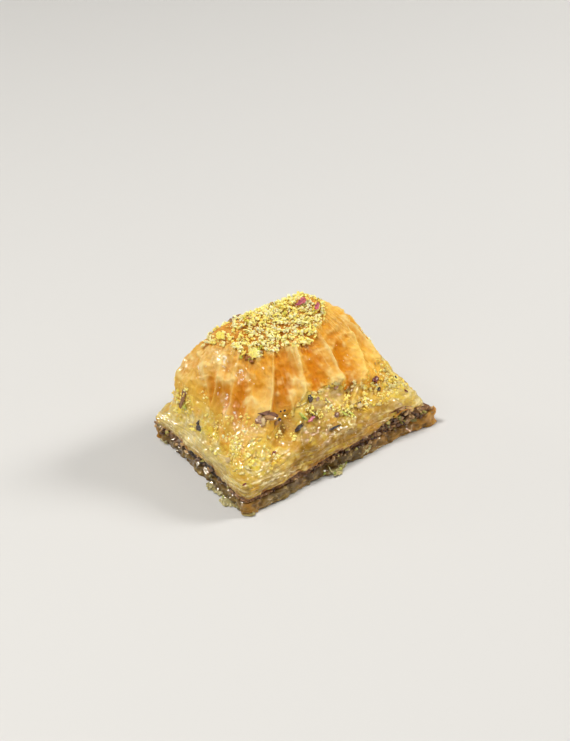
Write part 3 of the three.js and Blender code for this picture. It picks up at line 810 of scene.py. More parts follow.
def seatOn(side, share, lift, turn, tiltX, tiltY):
    # places and frames of things lying on the slope: x along the turn, z off the surface
    point, normal = domePoint(side, share), domeNormal(side, share)
    around = domePoint(side + 0.01, share) - domePoint(side - 0.01, share)
    around = around / np.linalg.norm(around, axis=-1, keepdims=True)
    basis = np.stack([around, np.cross(normal, around), normal], -1)
    basis = basis @ turned(2, turn) @ turned(0, tiltX) @ turned(1, tiltY)
    relief = zonesAt(side, share, swells) - valleyAt(side, share)[0]
    return point + normal * (lift + relief)[:, None], basis


def strew(name, shapes, places, frames, sizes, seed, flat=True, tones=None):
    # many small things as one mesh, each with its place, its frame and its sizes along that frame
    dice = np.random.default_rng(seed)
    if tones is None:
        tones = dice.uniform(size=len(places))
    points, faces, start = [], [], 0
    for i, (place, basis, size) in enumerate(zip(places, frames, sizes)):
        shape, polygons = shapes[i % len(shapes)]
        points.append((shape * size) @ basis.T + place)
        faces.extend([tuple(v + start for v in polygon) for polygon in polygons])
        start += len(shape)
    mesh = bpy.data.meshes.new(name)
    corners = np.concatenate(points)
    corners[:, 2] = np.maximum(corners[:, 2], 0.02)  # nothing reaches below the floor
    mesh.from_pydata((corners * mm).tolist(), [], faces)
    layer = mesh.attributes.new("tone", "FLOAT", "POINT")
    values = np.concatenate([np.full(len(own), tone) for own, tone in zip(points, tones)])
    layer.data.foreach_set("value", values.astype(np.float32))
    if not flat:
        mesh.polygons.foreach_set("use_smooth", [True] * len(mesh.polygons))
    piece = bpy.data.objects.new(name, mesh)
    bpy.context.scene.collection.objects.link(piece)
    return piece


# Ground pistachio: clumps heaped along the crest and grains stuck to the wet slopes
crumbSize = {
    "tries": 24000, "clumps": 240, "each": (8, 17), "apart": 1.5, "spread": 0.55, "rise": 1.0,
    "crumb": (0.5, 1.1), "fine": 600, "grain": (0.3, 0.6), "crestClumps": 26, "crestEach": 9, "patch": 0.55,
    "top": 37.9,
    # the heap's border, as side and share
    "border": (
        (0.11, 0.80), (0.415, 0.765), (0.60, 0.74), (0.75, 0.83), (0.95, 0.88), (1.28, 0.90), (1.6, 0.91),
        (2.2, 0.93), (2.93, 0.95), (3.2, 0.86), (3.78, 0.85), (3.9, 0.8), (3.995, 0.775),
    ),
    # grains on the slopes: side, share, spread of both, how many
    "slopes": (
        (3.25, 0.38, 0.1, 0.09, 120), (3.6, 0.3, 0.12, 0.09, 110), (3.88, 0.34, 0.08, 0.08, 170),
        (0.02, 0.27, 0.12, 0.08, 90), (0.35, 0.33, 0.1, 0.06, 40), (0.50, 0.33, 0.05, 0.05, 50),
        (0.58, 0.23, 0.05, 0.05, 70), (0.76, 0.26, 0.1, 0.08, 120), (0.95, 0.36, 0.08, 0.06, 150),
        (1.12, 0.28, 0.06, 0.1, 120), (1.5, 0.35, 0.2, 0.12, 120), (2.1, 0.35, 0.3, 0.12, 150),
        (2.8, 0.33, 0.2, 0.12, 150),
    ),
}


def borderShare(side):
    sides, shares = np.array(crumbSize["border"]).T
    return np.interp(np.mod(side, 4), sides, shares, period=4)


def evenPlaces(dice, tries):
    # random sides and shares, spread evenly over the upper surface
    side, share = dice.uniform(0, 4, tries), dice.uniform(0.6, 1, tries)
    around = domePoint(side + 0.01, share) - domePoint(side - 0.01, share)
    up = domePoint(side, np.minimum(1, share + 0.01)) - domePoint(side, share - 0.01)
    area = np.linalg.norm(np.cross(around, up), axis=-1)
    keep = dice.uniform(size=tries) < area / area.max()
    return side[keep], share[keep]


def heapCrumbs(dice):
    # the clumps and lone grains of the heap: sides, shares, rises above the sheet, sizes, tones, steps aside
    size = crumbSize
    side, share = evenPlaces(dice, size["tries"])
    point = domePoint(side, share)
    above = share - borderShare(side) - 0.012 * dice.normal(size=len(side))
    left, right = smooth(-12.0, -6.0, point[:, 0]), smooth(13.0, 17.0, point[:, 0])
    thick = np.maximum(left, bell(above, 0.02, 0.025)) * (1 - right)  # the heap thins out towards both ends
    inHeap = np.flatnonzero((above > 0) & (dice.uniform(size=len(side)) < mix(0.12, 1.0, thick)))
    chosen = []
    for i in inHeap:
        gaps = np.linalg.norm(point[chosen] - point[i], axis=-1)
        if len(chosen) < size["clumps"] and gaps.min(initial=math.inf) > size["apart"]:
            chosen.append(i)
    many = dice.integers(*size["each"], len(chosen))
    many = np.maximum(2, (many * mix(0.45, 1.0, thick[chosen])).astype(int))
    own = np.concatenate([np.repeat(chosen, many), inHeap[:size["fine"]]])
    count, clumped = len(own), many.sum()
    sizes = [dice.uniform(*size["crumb"], clumped), dice.uniform(*size["grain"], count - clumped)]
    tones = [np.repeat(dice.uniform(size=len(chosen)), many), dice.uniform(size=count - clumped)]
    across = dice.normal(size=(count, 2)) * size["spread"]
    across[clumped:] = 0
    rises = np.where(np.arange(count) < clumped, 0.55, 0.35)
    rises = rises + size["rise"] * dice.uniform(size=count) ** 1.2 * np.exp(-(across ** 2).sum(-1) / 0.6)
    # painted light: grains high in a clump get lighter tones, those low in it darker ones
    onTop = np.clip((rises - 0.35) / (0.2 + size["rise"]), 0, 1)
    tones = np.concatenate(tones)
    tones = np.where(tones < 0.11, tones, 0.25 + 0.45 * onTop + 0.4 * tones)
    return side[own], share[own], rises, np.concatenate(sizes), tones, across


def slopeGrains(dice, at, high, wide, tall, count):
    # the same for grains on a slope, which lie in small patches, a few of them apart
    patches = count // 6
    patch = dice.integers(0, 2 * patches, count) % patches
    loose = dice.uniform(size=count) < 0.2
    side = at + (dice.normal(size=patches) * wide)[patch] + 0.04 * loose * dice.normal(size=count)
    share = high + (dice.normal(size=patches) * tall)[patch] + 0.03 * loose * dice.normal(size=count)
    rises = dice.uniform(0.15, 0.45, count)
    sizes = 0.25 + 0.75 * dice.uniform(size=count) ** 2
    tones = dice.uniform(0.15, 0.8, patches)[patch]
    across = np.clip(dice.normal(size=(count, 2)), -2, 2) * crumbSize["patch"]
    return side, np.maximum(0.04, share), rises, sizes, tones, across


def makeCrumbs():
    size = crumbSize
    dice = np.random.default_rng(7)
    groups = [heapCrumbs(dice)] + [slopeGrains(dice, *slope) for slope in size["slopes"]]
    sides, shares, rises, sizes, tones, across = (np.concatenate(values) for values in zip(*groups))
    level = np.zeros(len(sides))
    places, frames = seatOn(sides, shares, rises, level, level, level)
    places = places + frames[..., 0] * across[:, :1] + frames[..., 1] * across[:, 1:]
    along = np.repeat(np.linspace(0.22, 1.02, size["crestClumps"]), size["crestEach"])[:, None]
    crest = mix(np.array(form["shoulder"]), np.array(form["peak"]), along)
    crest = crest + dice.normal(size=crest.shape) * (0.8, 0.9, 0.2)
    crest[:, 2] += 0.2 + 0.3 * smooth(0.3, 0.6, along[:, 0])
    places = np.concatenate([places, crest])
    sizes = np.concatenate([sizes, dice.uniform(*size["crumb"], len(crest))])
    crestTones = np.repeat(dice.uniform(0.4, 1, size["crestClumps"]), size["crestEach"])
    tones = np.concatenate([tones, crestTones])
    count = len(places)
    places[:, 2] = np.minimum(places[:, 2], size["top"] - 0.6 * sizes)
    frames = turned(2, dice.uniform(0, 6.3, count)) @ turned(0, dice.uniform(0, 6.3, count))
    sizes = sizes[:, None] * dice.uniform(0.7, 1.25, (count, 3))
    tones = np.clip(tones + 0.08 * dice.normal(size=count), 0, 1)
    shapes = chipShapes(14, 20, 0.34, (1, 0.9, 0.8))
    return strew("pistachioGrains", shapes, places, frames, sizes, 8, tones=tones)


# Flakes of nut skin and other bits on the slopes: side, share, long, wide, turn
bits = {
    "skin": (
        (2.71, 0.93, 3.8, 1.7, 0.1), (3.26, 0.40, 5.2, 1.5, 1.5), (0.085, 0.47, 3.0, 2.6, 1.3),
        (0.14, 0.485, 4.6, 2.4, -0.6), (0.605, 0.42, 1.7, 0.7, 0.1), (0.47, 0.40, 1.2, 0.9, 0.8),
        (0.52, 0.36, 1.4, 0.5, 1.4), (0.54, 0.21, 1.4, 1.2, 0.5), (1.45, 0.35, 2.8, 1.7, 0.3),
        (2.70, 0.28, 2.6, 1.6, 0.6),
    ),
    "green": (
        (3.30, 0.335, 1.5, 1.2, 0.3), (0.355, 0.34, 2.6, 0.8, 1.9), (0.36, 0.315, 1.9, 0.7, 2.2),
        (0.615, 0.18, 3.0, 0.7, -1.1), (0.58, 0.2, 2.6, 0.6, -0.9), (2.5, 0.25, 2.0, 1.2, 0.4),
    ),
    "dark": (
        (3.505, 0.24, 3.0, 1.7, -0.4), (3.49, 0.275, 1.8, 0.6, 1.0), (0.425, 0.43, 2.0, 1.2, 0.9),
        (0.32, 0.28, 2.8, 1.1, 0.15), (0.42, 0.305, 1.3, 0.9, 0.3), (0.88, 0.30, 1.2, 1.0, 0.4),
        (1.12, 0.24, 1.1, 0.6, 0.5), (0.70, 0.235, 1.2, 0.9, 0.9), (0.505, 0.12, 3.4, 0.6, 0.0),
        (0.225, 0.43, 0.8, 0.7, 0.0), (0.235, 0.47, 0.6, 0.5, 0.0), (0.26, 0.46, 0.7, 0.5, 0.0),
        (1.75, 0.3, 1.6, 1.1, 1.3), (2.30, 0.40, 3.2, 1.6, -0.7),
    ),
    "walnut": (
        (0.10, 0.46, 2.4, 1.5, 1.2), (0.15, 0.465, 3.6, 1.5, -0.6), (0.20, 0.42, 1.6, 1.1, 0.4),
        (0.685, 0.21, 2.2, 1.6, 0.3), (3.835, 0.18, 1.9, 1.6, 0.3), (3.0, 0.3, 1.4, 0.8, 0.9),
    ),
    "pink": (
        (0.825, 0.985, 3.4, 1.6, 0.2), (0.98, 0.93, 2.2, 1.1, 0.8), (0.40, 0.28, 2.2, 1.2, 0.1),
    ),
    "red": (
        (0.905, 0.38, 2.4, 1.5, 0.1), (1.02, 0.15, 1.2, 0.6, 1.2), (0.16, 0.22, 1.3, 0.8, 0.4),
        (3.99, 0.04, 1.2, 0.5, 0.8), (2.05, 0.2, 1.5, 1.0, 0.1),
    ),
    "yellow": (
        (3.985, 0.80, 3.4, 2.8, 0.5), (3.50, 0.90, 2.4, 2.0, 0.2), (0.42, 0.36, 1.1, 0.9, 0.4),
    ),
}


def makeBits():
    pieces = []
    for number, (kind, own) in enumerate(bits.items()):
        side, share, long, wide, turn = np.array(own).T
        dice = np.random.default_rng(90 + number)
        tiltX, tiltY = dice.normal(0, 0.15, (2, len(own)))
        lift = 0.55 + 0.55 * smooth(0.78, 0.82, share) + 0.5 * smooth(-0.01, 0.02, share - edgeShare(side))
        places, frames = seatOn(side, share, lift, turn, tiltX, tiltY)
        sizes = np.stack([long, wide, np.minimum(long, wide)], -1)
        if kind == "walnut":
            shapes = chipShapes(5, 33, 0.12, (1, 0.9, 0.6), 2)
        else:
            shapes = flakeShapes(5, 30 + number, 0.22, 1.1, 0.16)
        pieces.append((kind, strew(kind + "Bits", shapes, places, frames, sizes, 40 + number)))
    return pieces


# Torn flakes and crumbs that cling to the wet foot: side, mm beyond it, height, long, wide, turn, tilt
footBits = {
    "filo": (
        (3.82, -0.6, 0.7, 4.0, 2.4, 1.5, 0.35), (3.72, -0.5, 0.7, 3.0, 2.0, 1.8, 0.3),
        (3.64, -0.4, 0.6, 2.6, 1.8, 1.2, 0.4), (3.9, -0.6, 0.9, 2.2, 1.5, 1.0, 0.5),
        (0.03, -0.5, 0.9, 2.4, 1.5, 0.7, 0.3), (0.645, -0.1, 2.4, 3.4, 2.4, 0.2, 1.2),
        (0.44, -0.1, 2.4, 2.6, 0.6, 1.2, 1.2), (0.475, -0.6, 0.9, 3.6, 2.2, 0.1, 0.5),
        (0.515, -0.5, 0.8, 2.6, 1.6, -0.3, 0.4), (3.1, -0.4, 0.8, 2.6, 1.8, 1.5, 0.4),
        (2.3, -0.4, 0.8, 3.4, 2.0, 0.1, -0.4), (2.7, -0.4, 0.7, 2.6, 1.6, 0.3, -0.3),
    ),
    "green": (
        (0.49, -0.2, 1.2, 1.2, 0.6, 0.6, 0.4), (0.51, -0.2, 1.0, 1.0, 0.5, 2.0, 0.2),
        (0.455, -0.3, 1.1, 1.1, 0.7, 1.1, 0.3), (0.42, -0.3, 1.0, 0.9, 0.6, 0.2, 0.5),
        (3.79, -0.2, 1.2, 1.0, 0.6, 0.9, 0.3), (0.54, -0.2, 0.9, 1.0, 0.6, 0.4, 0.6),
    ),
}


def makeFootBits(name, kind, shapes, seed):
    side, out, height, long, wide, turn, tilt = np.array(footBits[kind]).T
    x, y = cutPoint(side, bellsAt(side, baseSize["tongues"]) + out, 1)
    places, frames = np.stack([x, y, height], -1), turned(2, turn) @ turned(0, tilt)
    sizes = np.stack([long, wide, np.minimum(long, wide)], -1)
    return strew(name, shapes, places, frames, sizes, seed)


# Loose shreds of soaked filo lying on the slopes and along the torn edges
shredSize = {
    "count": 90, "long": (0.8, 2.4), "wide": (0.4, 1.0), "thick": 0.08,
    "rags": 46, "ragSide": (1.1, 0.07), "ragShare": (0.12, 0.5),  # more of them hang on the right slope
}


def makeShreds():
    size = shredSize
    dice = np.random.default_rng(17)
    count, rags = size["count"], size["rags"]
    side = dice.uniform(0, 4, count)
    share = dice.uniform(0.1, 0.98, count) * (edgeShare(side) + 0.02)
    torn = np.arange(count) % 2 == 0  # every other one hangs from the top sheet's edge
    side[torn] = 0.78 + 0.4 * dice.normal(size=torn.sum())
    share[torn] = edgeShare(side[torn]) + dice.normal(size=torn.sum()) * 0.012
    middle, spread = size["ragSide"]
    side = np.concatenate([side, middle + spread * dice.normal(size=rags)])
    share = np.concatenate([share, dice.uniform(*size["ragShare"], rags)])
    raised = np.repeat((0.1, 0.3), (count, rags))
    count += rags
    turn, (tiltX, tiltY) = dice.normal(0, 0.6, count), dice.normal(0, 1, (2, count)) * raised
    places, frames = seatOn(side, share, np.full(count, 0.3), turn, tiltX, tiltY)
    long, wide = dice.uniform(*size["long"], count), dice.uniform(*size["wide"], count)
    sizes = np.stack([long, wide, np.ones(count)], -1)
    shapes = flakeShapes(12, 60, size["thick"], 0.6)
    return strew("filoShreds", shapes, places, frames, sizes, 18, flat=False)


# Chopped walnut and pistachio that stand out of the seam
nutSize = {
    # side, spread, how many
    "clusters": (
        (0.84, 0.07, 90), (0.42, 0.08, 40), (0.2, 0.16, 24), (0.62, 0.1, 40), (3.1, 0.06, 22), (3.5, 0.1, 8),
        (3.8, 0.12, 6), (1.5, 0.3, 90), (2.5, 0.5, 140),
    ),
    "large": (0.9, 2.3),
}


def makeNuts():
    dice = np.random.default_rng(27)
    side = [at + dice.normal(size=count) * spread for at, spread, count in nutSize["clusters"]]
    side = np.concatenate(side)
    count = len(side)
    gape = seamOpen(side)
    out, height = dice.uniform(-0.9, 0.1, count) + 0.2 * gape, dice.uniform(0.1, 0.9, count)
    x, y = cutPoint(side, out, seamSize["tip"])
    low, high = seamBottom(x, y), seamTop(x, y) + seamLift(side)
    size = dice.uniform(*nutSize["large"], count) * np.clip((high - low) / 2.2, 0.4, 1) * mix(0.7, 1.1, gape)
    frames = turned(2, dice.uniform(0, 6.3, count)) @ turned(0, dice.uniform(0, 6.3, count))
    places = np.stack([x, y, mix(low, high, height)], -1)
    sizes = size[:, None] * dice.uniform(0.6, 1.1, (count, 3))
    kind = dice.choice(3, count, p=(0.55, 0.33, 0.12))
    shapes = chipShapes(12, 70, 0.28, (1, 0.85, 0.7))
    pieces = []
    for number, name in enumerate(("walnutPieces", "darkNutPieces", "greenNutPieces")):
        own = kind == number
        pieces.append(strew(name, shapes, places[own], frames[own], sizes[own], 28 + number))
    return pieces


def linear(hexColour):
    # an sRGB hex value as the linear colour that a shader takes
    channels = [int(hexColour[i:i + 2], 16) / 255 for i in (1, 3, 5)]
    return tuple(c / 12.92 if c <= 0.04045 else ((c + 0.055) / 1.055) ** 2.4 for c in channels) + (1.0,)


def addNode(tree, kind, inputs, output=0, **settings):
    # one shader node with its settings, and its inputs linked or set; gives one of its outputs
    node = tree.nodes.new("ShaderNode" + kind)
    for key, value in settings.items():
        setattr(node, key, value)
    for key, value in inputs.items():
        if isinstance(value, bpy.types.NodeSocket):
            tree.links.new(value, node.inputs[key])
        else:
            node.inputs[key].default_value = value
    return node.outputs[output] if node.outputs else None


def finish(name, describe):
    # a material whose shader takes the settings that describe gives for its node tree
    material = bpy.data.materials.new(name)
    material.use_nodes = True
    tree = material.node_tree
    tree.nodes.clear()
    addNode(tree, "OutputMaterial", {"Surface": addNode(tree, "BsdfPrincipled", describe(tree))})
    return material


def tonesOf(tree, *names):
    # the tones that a mesh carries on its points
    return [addNode(tree, "Attribute", {}, "Fac", attribute_name=name) for name in names]


def grainOf(tree, size, detail=2.0, squash=(1, 1, 1)):
    # a cloudy pattern with blobs about size mm across
    where = addNode(tree, "TexCoord", {}, "Object")
    where = addNode(tree, "Mapping", {"Vector": where, "Scale": squash})
    inputs = {"Vector": where, "Scale": 1 / (size * mm), "Detail": detail, "Roughness": 0.55}
    return addNode(tree, "TexNoise", inputs)


def showing(tree, value, low, high, start=0.0, end=1.0, times=(), plus=()):
    # how strongly something shows as a value runs from low to high, times or plus other strengths
    inputs = {0: value, 1: low, 2: high, 3: start, 4: end}
    strength = addNode(tree, "MapRange", inputs, interpolation_type="SMOOTHSTEP")
    for operation, others in (("MULTIPLY", times), ("ADD", plus)):
        for other in others:
            strength = addNode(tree, "Math", {0: strength, 1: other}, operation=operation)
    return strength


def painted(tree, colour, *layers):
    # colours laid over one another: the value that brings each in, from and to what it does, how much shows
    colour = linear(colour)
    for value, low, high, most, tone in layers:
        inputs = {0: showing(tree, value, low, high, 0, most), 6: colour, 7: linear(tone)}
        colour = addNode(tree, "Mix", inputs, 2, data_type="RGBA")
    return colour


def roughened(tree, *patterns):
    # fine relief from patterns laid over one another: each with its depth in mm and how much of it shows
    inputs = {}
    for pattern, depth, share in patterns:
        inputs = inputs | {"Height": pattern, "Distance": depth * mm, "Strength": share}
        inputs = {"Normal": addNode(tree, "Bump", inputs)}
    return inputs["Normal"]


def syrupWaves(tree, broad, fine):
    # small waves and grains in the wet film, which break the lights into sparkles
    return (grainOf(tree, 0.7, 1), fine, 1.0), (grainOf(tree, 2.0, 1), broad, 1.0)


filoBody = {
    "IOR": 1.45, "Specular IOR Level": 0.08, "Coat IOR": 1.45, "Subsurface Radius": (1.0, 0.75, 0.35),
}


def bakedFilo(tree):
    # baked filo brushed with syrup: golden crisp sheet under a clear wet coat that breaks into sparkles
    deep, away, pale, heap, merge, sunny, sparkle = tonesOf(
        tree, "deep", "away", "pale", "heap", "merge", "sunny", "sparkle")
    fleck = grainOf(tree, 1.5, 3)
    # glints: near-white flecks painted into the colour as highlights where the film sparkles
    glints = addNode(tree, "Math", {0: sparkle, 1: 0.16, 2: grainOf(tree, 1.1, 3)}, operation="MULTIPLY_ADD")
    colour = painted(
        tree, "#DC9A2C",
        (grainOf(tree, 6, 3), 0.38, 0.62, 1, "#E6B454"), (away, 0.2, 0.0, 0.8, "#E6B03C"),
        # deep: valley orange from pooled syrup, partly painted shade
        (deep, 0.05, 1.3, 1, "#CC7A08"), (fleck, 0.5, 0.7, 0.3, "#E0961C"),
        # pale: pale crests and baked patches, partly painted light on ridges and bumps
        (pale, 0.1, 1.0, 0.85, "#F2D890"), (glints, 0.69, 0.75, 0.85, "#FFF4DC"),
        # sunny: painted light on the right of the top sheet
        (sunny, 0.1, 0.9, 0.55, "#FCC84C"), (merge, 0.1, 0.8, 0.8, "#DEAE46"),
        # heap: painted shade under the pistachio heap
        (heap, 0.2, 1.0, 0.6, "#CE8A38"),
    )
    crumple = (grainOf(tree, 0.7, 2), 0.14, sparkle)
    return filoBody | {
        "Base Color": colour, "Roughness": 0.42, "Normal": roughened(tree, (fleck, 0.45, 0.8)),
        "Coat Weight": showing(tree, sparkle, 0.08, 0.6, 0.02), "Coat Roughness": 0.06,
        "Coat Normal": roughened(tree, crumple, *syrupWaves(tree, 0.2, 0.04)),
        "Subsurface Weight": 0.4, "Subsurface Scale": 0.0014,
    }


def soakedFilo(tree):
    # filo soaked in syrup: many thin yellow sheets, half see-through, wet and glinting on their cut edges
    tone, rise, pale, gap, deep, soak, milky, dust, flecks = tonesOf(
        tree, "tone", "rise", "pale", "gap", "deep", "soak", "milky", "dust", "flecks")
    cloud, fleck = grainOf(tree, 6, 3), grainOf(tree, 1.3, 3)
    streaks = grainOf(tree, 1.5, 3, (0.36, 0.36, 2.2))  # drawn out level, as the edges of many sheets
    # soaked places sit lower, so darker: syrup and painted shade
    sunk = addNode(tree, "Math", {0: soak, 1: -0.3, 2: rise}, operation="MULTIPLY_ADD")
    height = showing(tree, cloud, 0.3, 0.7, -0.2, 0.2, plus=(sunk,))
    # milk: pale milky filo, partly a painted wet sheen
    milk = showing(tree, height, 1.1, 0.5, times=(milky, showing(tree, rise, 0.08, 0.34)))
    # rim: a cream band along the rim, partly a painted highlight on the rounded rim
    offRim = addNode(tree, "Math", {0: rise, 1: 0.43}, operation="SUBTRACT")
    offRim = addNode(tree, "Math", {0: offRim}, operation="ABSOLUTE")
    rim = showing(tree, offRim, 0.13, 0.0, times=(milky,))
    powder = showing(tree, grainOf(tree, 2.2, 4), 0.4, 0.6, -0.7, 0.25, plus=(dust,))
    # spots: cream flecks of broken sheet, partly painted sparkles
    spots = addNode(tree, "Math", {0: flecks, 1: 0.16, 2: grainOf(tree, 0.9, 2)}, operation="MULTIPLY_ADD")
    unstained = showing(
        tree, fleck, 0.35, 0.65, 0.0, 0.12, plus=(rise, showing(tree, cloud, 0.35, 0.65, -0.08, 0.08)))
    # lines: pale cut edges of the sheets, partly painted streaks of highlight along them
    lines = showing(tree, streaks, 0.48, 0.7, 0, 0.75, times=(
        showing(tree, height, 0.95, 0.45, 0.15, 1.0), showing(tree, soak, 0.1, 0.9, 1, 0.32),
        showing(tree, unstained, 0.1, 0.3)))
    colour = painted(
        tree, "#B2924A",
        # soak: darker with syrup and with painted shade
        (soak, 0.1, 0.9, 1, "#A67A1E"), (height, 0.2, 0.75, 1, "#DEB94A"), (height, 0.65, 1.1, 1, "#E0AC40"),
        (tone, 0.0, 0.7, 0.35, "#DDC268"), (tone, 0.0, -0.7, 0.4, "#A47A1C"),
        # deep: painted shade in the valleys, hollows and roll folds
        (cloud, 0.48, 0.7, 0.5, "#D89420"), (deep, 0.3, 2.2, 0.7, "#BE801C"),
        (milk, 0.05, 0.8, 0.7, "#C2AE6C"), (rim, 0.2, 1.0, 0.6, "#F0DC94"),
        # pale: pale torn edges, and painted light on the creases
        (powder, -0.1, 0.8, 0.7, "#F4DC54"), (pale, 0.1, 0.7, 0.7, "#EEDA94"),
        (spots, 0.68, 0.78, 0.8, "#F6E4AC"), (gap, 0.15, 0.8, 0.5, "#8A661C"),
        (unstained, 0.2, 0.03, 0.9, "#96590F"),
    )
    # the pale edges and painted highlight streaks laid over the rest
    colour = addNode(tree, "Mix", {0: lines, 6: colour, 7: linear("#F0DEA4")}, 2, data_type="RGBA")
    relief = addNode(tree, "Math", {0: streaks, 1: 0.6, 2: fleck}, operation="MULTIPLY_ADD")
    rough = (grainOf(tree, 0.9, 1), 0.15, showing(tree, flecks, 0.1, 0.8))
    return filoBody | {
        "Base Color": colour, "Roughness": 0.38, "Normal": roughened(tree, (relief, 0.3, 0.6)),
        "Coat Weight": 1.0, "Coat Roughness": 0.05,
        "Coat Normal": roughened(tree, rough, *syrupWaves(tree, 0.34, 0.06), (streaks, 0.07, 1.0)),
        "Subsurface Weight": 0.5, "Subsurface Scale": 0.0016,
    }


def drenchedFilo(tree):
    # the lowest sheets, lying in syrup: golden at the corners, greenish brown between, and glossy
    tone, rise, gap, golden, deep, torn = tonesOf(tree, "tone", "rise", "gap", "golden", "deep", "torn")
    goldenTop = addNode(tree, "Math", {0: golden, 1: rise}, operation="MULTIPLY")
    colour = painted(
        tree, "#6E561E", (tone, -0.6, 0.7, 1, "#94783C"), (grainOf(tree, 4, 3), 0.4, 0.65, 1, "#5A4414"),
        (golden, 0.2, 1.0, 0.9, "#BE862C"), (grainOf(tree, 1.2, 3), 0.55, 0.7, 0.6, "#C8A860"),
        # deep: painted shade in the set-in places of the edge
        (deep, 0.1, 0.7, 0.6, "#5A3A10"), (gap, 0.2, 1.0, 0.8, "#3A270C"), (rise, 0.8, 1.0, 0.5, "#5A3814"),
        (goldenTop, 0.35, 0.9, 0.8, "#DAA04A"), (torn, 0.2, 0.8, 0.7, "#B4A870"),
    )
    return filoBody | {
        "Base Color": colour, "Roughness": 0.35, "Coat Weight": 1.0, "Coat Roughness": 0.05,
        "Coat Normal": roughened(tree, *syrupWaves(tree, 0.3, 0.06)),
        "Subsurface Weight": 0.5, "Subsurface Scale": 0.0015,
    }


def toned(tree, dark, light):
    # every small thing has a tone of its own between two colours
    tone, = tonesOf(tree, "tone")
    return addNode(tree, "Mix", {0: tone, 6: linear(dark), 7: linear(light)}, 2, data_type="RGBA")


def filoShred(tree):
    # single torn leaves of soaked filo: thin, golden and glossy
    return filoBody | {
        "Base Color": toned(tree, "#E8B840", "#FAE494"), "Roughness": 0.35, "Coat Weight": 0.7,
        "Coat Roughness": 0.15, "Subsurface Weight": 0.5, "Subsurface Scale": 0.001,
    }


def nutPaste(tree):
    # ground walnut bound with syrup: brown, grainy and damp
    dim, = tonesOf(tree, "dim")
    fine = grainOf(tree, 0.5, 3)
    colour = painted(
        tree, "#6A4018", (grainOf(tree, 1.4, 3), 0.35, 0.65, 1, "#9C6A34"),
        # dim: painted shade where the seam lies in shadow
        (fine, 0.6, 0.75, 0.6, "#A8803C"), (dim, 0.2, 0.9, 0.9, "#1C160A"),
    )
    return {
        "Base Color": colour, "Roughness": 0.5, "Normal": roughened(tree, (fine, 0.4, 0.8)),
        "Coat Weight": 0.2, "Coat Roughness": 0.1, "IOR": 1.45, "Coat IOR": 1.48,
    }


def nutFlesh(name, dark, light, gloss):
    # cut nut and its skin: matt grainy flesh in a range of tones, with a film of syrup
    return finish(name, lambda tree: {
        "Base Color": toned(tree, dark, light), "Roughness": 0.55,
        "Normal": roughened(tree, (grainOf(tree, 0.35, 2), 0.1, 0.6)), "Coat Weight": gloss,
        "Coat Roughness": 0.15, "Subsurface Weight": 0.25, "Subsurface Radius": (1.0, 0.8, 0.3),
        "Subsurface Scale": 0.0006, "IOR": 1.45, "Coat IOR": 1.48,
    })


def pistachioFlesh(tree):
    # ground pistachio kernel: dry, pale yellow, a few grains greener or with their brown skin
    tone, = tonesOf(tree, "tone")
    colour = painted(
        tree, "#F6D258", (tone, 0.2, 0.5, 1, "#FFEA7C"), (tone, 0.5, 0.9, 1, "#FFF6B8"),
        (tone, 0.11, 0.07, 1, "#C8C448"), (tone, 0.045, 0.03, 1, "#A8703C"),
    )
    return {
        "Base Color": colour, "Roughness": 0.6, "Subsurface Weight": 0.4,
        "Subsurface Radius": (1.0, 0.85, 0.3), "Subsurface Scale": 0.0006, "IOR": 1.45,
    }


def dress(piece, material, slotName, *nodes):
    piece.data.materials.clear()
    piece.data.materials.append(material)
    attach(piece, "root")
    if nodes:
        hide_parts(*nodes)


# Soft lights give the form, and small warm ones are seen only in the gloss, as glints in the syrup
studioLook = {
    "floor": "#D2D0CC", "air": "#FAF6F0", "airStrength": 0.2, "away": 12.0, "glintTint": (1.0, 0.94, 0.8),
    # direction from the piece, size in spans of the piece, watts
    "soft": {
        "keyLight": ((-0.40, 0.08, 0.90), 3.0, 8.8), "rightLight": ((0.80, -0.30, 0.52), 3.0, 8.3),
        "frontLight": ((-0.95, -0.35, 0.6), 5.0, 1.0),
    },
    "glints": {
        "topGlint": ((-0.34, 0.04, 0.94), 1.0, 11.0), "frontGlint": ((-0.12, -0.34, 0.94), 0.7, 3.6),
        "sideGlint": ((0.60, -0.72, 0.34), 0.8, 4.4), "slopeGlint": ((0.43, -0.42, 0.80), 0.8, 5.0),
        "leftGlint": ((-0.38, 0.84, 0.38), 1.6, 12.0),
    },
}


def addLight(name, direction, size, watts, glossOnly):
    low, high = cadBox
    span = (high - low).length
    light = bpy.data.lights.new(name, "AREA")
    light.size = size * span
    light.energy = watts
    lamp = bpy.data.objects.new(name, light)
    bpy.context.scene.collection.objects.link(lamp)
    if glossOnly:
        light.color = studioLook["glintTint"]
    lamp.visible_glossy = glossOnly
    lamp.visible_diffuse = not glossOnly
    away = Vector(direction).normalized()
    lamp.location = (low + high) / 2 + away * studioLook["away"] * span
    lamp.rotation_euler = away.to_track_quat("Z", "Y").to_euler()


def makeStudio():
    low, high = cadBox
    deselectAll()
    bpy.ops.mesh.primitive_plane_add(size=(high - low).length * 60, location=(0, 0, low.z))
    floor = bpy.context.object
    floor.name = "floor"
    paint = {"Base Color": linear(studioLook["floor"]), "Roughness": 0.75}
    floor.data.materials.append(finish("paleFloor", lambda tree: paint))
    world = bpy.data.worlds.new("studioAir")
    world.use_nodes = True
    air = world.node_tree.nodes["Background"].inputs
    air["Color"].default_value = linear(studioLook["air"])
    air["Strength"].default_value = studioLook["airStrength"]
    bpy.context.scene.world = world
    for group, glossOnly in (("soft", False), ("glints", True)):
        for name, look in studioLook[group].items():
            addLight(name, *look, glossOnly)


# From above the front left corner, a little tilted; the aim is in mm from the middle of the piece
cameraLook = {
    "azimuth": -35.092, "elevation": 33.773, "tilt": -3.8725, "distance": 407.644, "lens": 71.94,
    "aim": (1.613, 2.968, 0.0),
}


